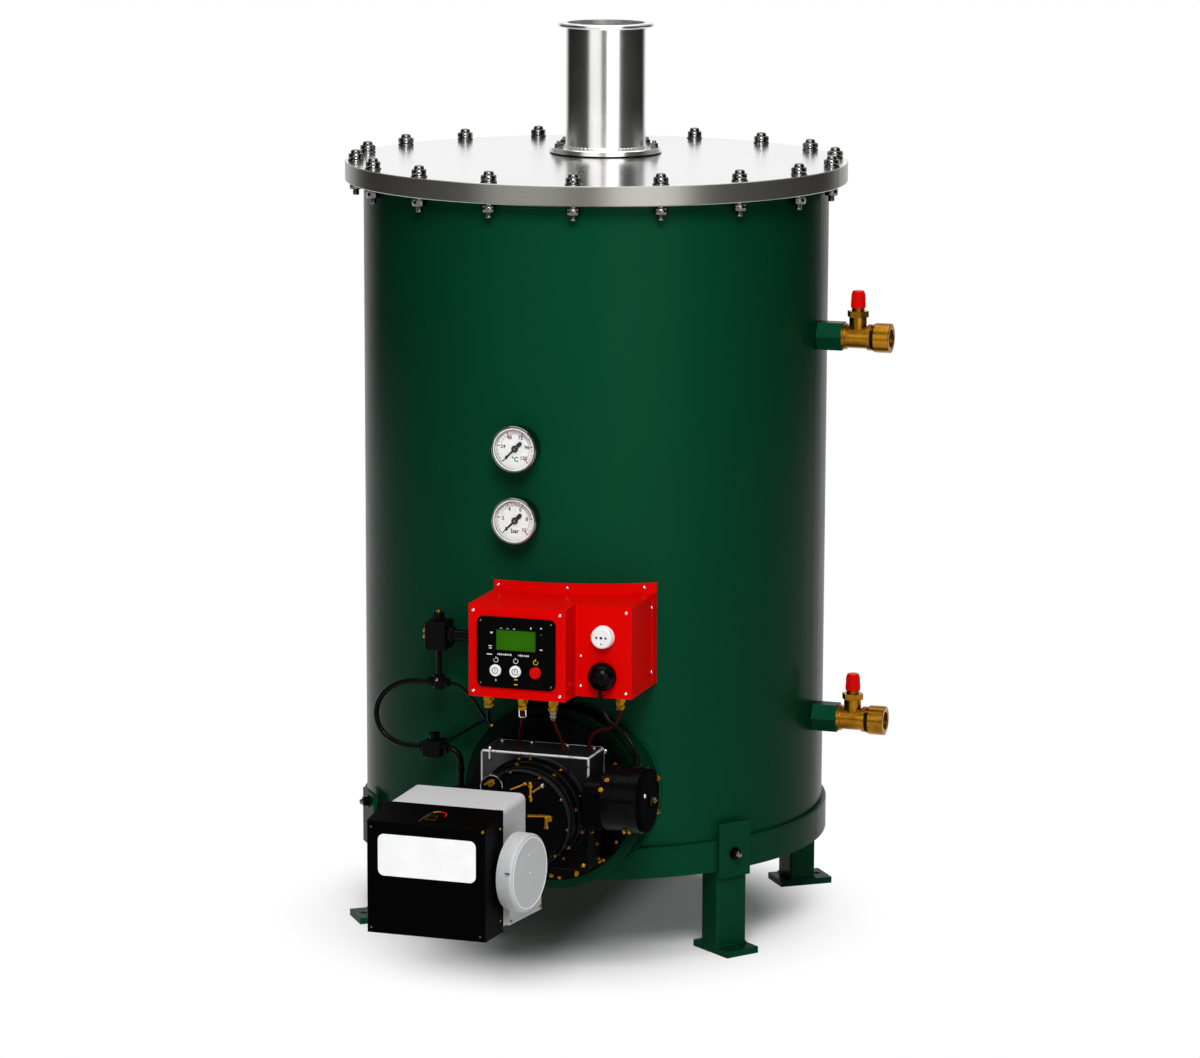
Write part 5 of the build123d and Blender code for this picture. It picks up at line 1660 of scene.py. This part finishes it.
class HEATER_OT_stage(bpy.types.Operator):
    """Set the camera, the pale floor, the softboxes and the white surroundings"""

    bl_idname = "heater.stage"
    bl_label = "Stage"

    def execute(self, context):
        scene = context.scene
        stage = scene.heater_stage
        scene.view_settings.view_transform = "Standard"
        lens = bpy.data.cameras.new("photo_camera")
        lens.sensor_fit = "HORIZONTAL"
        lens.sensor_width = 36.0
        lens.lens = stage.focal_length
        lens.clip_end = 100.0
        camera = bpy.data.objects.new("photo_camera", lens)
        spot = Matrix.Translation((2.5485, -7.815, 2.2605))
        swing, tilt, roll = radians(18.0), radians(79.36), radians(0.2)
        aim = Matrix.Rotation(swing, 4, "Z") @ Matrix.Rotation(tilt, 4, "X")
        camera.matrix_world = spot @ aim @ Matrix.Rotation(roll, 4, "Z")
        scene.collection.objects.link(camera)
        scene.camera = camera

        bench = Bench()
        edge = stage.floor_radius
        bench.turned(Matrix.Identity(4), [(edge, -0.004), (edge, 0.0)], "floor", 96, (False, True))
        mesh = bpy.data.meshes.new("floor")
        bench.mesh.to_mesh(mesh)
        bench.mesh.free()
        paper = bpy.data.materials.new("studio_floor")
        paper.use_nodes = True
        nodes = Nodes(paper.node_tree)
        across, along, _ = nodes.axes()
        # The floor's own shading shows under the part, and gives way to white further out; right of the
        # middle, 0.09 of white is painted light that lifts the shadow under the tank
        shadow_out, shadow_edge, white_edge = 0.1, 0.28, 0.6
        radius = (across ** 2.0 + (along + shadow_out) ** 2.0) ** 0.5
        sharp = nodes.rays("Is Camera Ray").most(nodes.rays("Is Glossy Ray"))
        seen = sharp.most(nodes.rays("Is Transmission Ray"))
        white_fade_and_painted_light = nodes.step(radius, shadow_edge, white_edge).most(0.09 * nodes.step(across, 0.0, 0.14))
        cloud = nodes.noise(1.5, 3.0)
        plain = nodes.add("ShaderNodeBsdfPrincipled", None, {
            "Base Color": nodes.blend(shade(stage.floor_tone, 0.985), shade(stage.floor_tone), cloud),
            "Roughness": 0.85,
            "Specular IOR Level": 0.1,
        })
        white = nodes.add("ShaderNodeEmission", None, {"Color": (1.0, 1.0, 1.0, 1.0), "Strength": 1.0})
        mixed = nodes.add("ShaderNodeMixShader", None, {0: seen * white_fade_and_painted_light, 1: plain, 2: white})
        nodes.add("ShaderNodeOutputMaterial", None, {"Surface": mixed})
        mesh.materials.append(paper)
        floor = bpy.data.objects.new("studio_floor", mesh)
        scene.collection.objects.link(floor)

        softbox("left_softbox", radians(-13.0), 4.0, 2.65, 0.9, 3.4, stage.left_level, card=True)
        softbox("right_softbox", radians(39.5), 4.0, 2.5, 0.2, 3.4, stage.right_level, card=True)
        key_side = radians(19.0)
        key = softbox("key_softbox", key_side, 4.2, 2.2, 3.3, 5.5, stage.key_level)
        key.rotation_euler = (radians(48.0), 0.0, key_side)
        top = softbox("top_softbox", 0.0, 0.0, 4.4, 0.0, 4.4, stage.top_level)
        top.location = (0.0, 0.2, 4.6)
        top.rotation_euler = (0.0, 0.0, 0.0)

        world = bpy.data.worlds.new("studio")
        world.use_nodes = True
        scene.world = world
        sky = Nodes(world.node_tree)
        across, along, rise = sky.axes(sky.add("ShaderNodeTexCoord", output="Generated"))
        behind = across * -sin(swing) + along * cos(swing)
        # Shiny surfaces mirror a white wall behind the part and a paler one aloft, in a dark room
        back = sky.step(behind, 0.66, 0.96)
        aloft = 0.35 * sky.step(rise, 0.02, 0.14) * sky.step(behind, -0.2, 0.3)
        mirrored = 0.006 + 0.994 * back.most(aloft)
        soft = 0.06 + 0.2 * sky.step(rise, -0.2, 1.0)
        camera_ray = sky.rays("Is Camera Ray")
        sharp = sky.rays("Is Glossy Ray").most(sky.rays("Is Transmission Ray"))
        level = camera_ray.most((1.0 - camera_ray) * (sharp * mirrored + (1.0 - sharp) * soft))
        tone = sky.blend((0.0, 0.0, 0.0, 1.0), (1.0, 1.0, 1.0, 1.0), level)
        shader = sky.add("ShaderNodeBackground", None, {"Color": tone, "Strength": 1.0})
        sky.add("ShaderNodeOutputWorld", None, {"Surface": shader})
        return {"FINISHED"}


class HEATER_PT_looks(bpy.types.Panel):
    """Lists the pieces of the water heater's looks"""

    bl_idname = "HEATER_PT_looks"
    bl_label = "Water heater"
    bl_space_type = "VIEW_3D"
    bl_region_type = "UI"
    bl_category = "Water heater"

    def draw(self, context):
        for operator in OPERATORS:
            self.layout.operator(operator.bl_idname)


SETTINGS = {
    "heater_paint": HeaterPaint,
    "heater_metal": HeaterMetal,
    "heater_plastic": HeaterPlastic,
    "heater_lid": HeaterLid,
    "heater_flue": HeaterFlue,
    "heater_gauges": HeaterGauges,
    "heater_controls": HeaterControls,
    "heater_burner": HeaterBurner,
    "heater_stage": HeaterStage,
}

OPERATORS = (
    HEATER_OT_stage, HEATER_OT_cords, HEATER_OT_tank, HEATER_OT_leg_bolts, HEATER_OT_lid, HEATER_OT_flue,
    HEATER_OT_gauges, HEATER_OT_control_box, HEATER_OT_control_panel, HEATER_OT_signal_cap, HEATER_OT_glands,
    HEATER_OT_burner, HEATER_OT_nozzle_stems, HEATER_OT_front_cover, HEATER_OT_motor, HEATER_OT_water_valves,
    HEATER_OT_side_set,
)


def register():
    """Add the settings, operators and panel."""
    for name, group in SETTINGS.items():
        bpy.utils.register_class(group)
        setattr(bpy.types.Scene, name, PointerProperty(type=group))
    for shown in (*OPERATORS, HEATER_PT_looks):
        bpy.utils.register_class(shown)


def unregister():
    """Take the panel, operators and settings away again."""
    for shown in (HEATER_PT_looks, *reversed(OPERATORS)):
        bpy.utils.unregister_class(shown)
    for name, group in SETTINGS.items():
        delattr(bpy.types.Scene, name)
        bpy.utils.unregister_class(group)


def main():
    """Make every piece in order."""
    register()
    for operator in OPERATORS:
        group, name = operator.bl_idname.split(".")
        getattr(getattr(bpy.ops, group), name)()


if __name__ == "__main__":
    main()
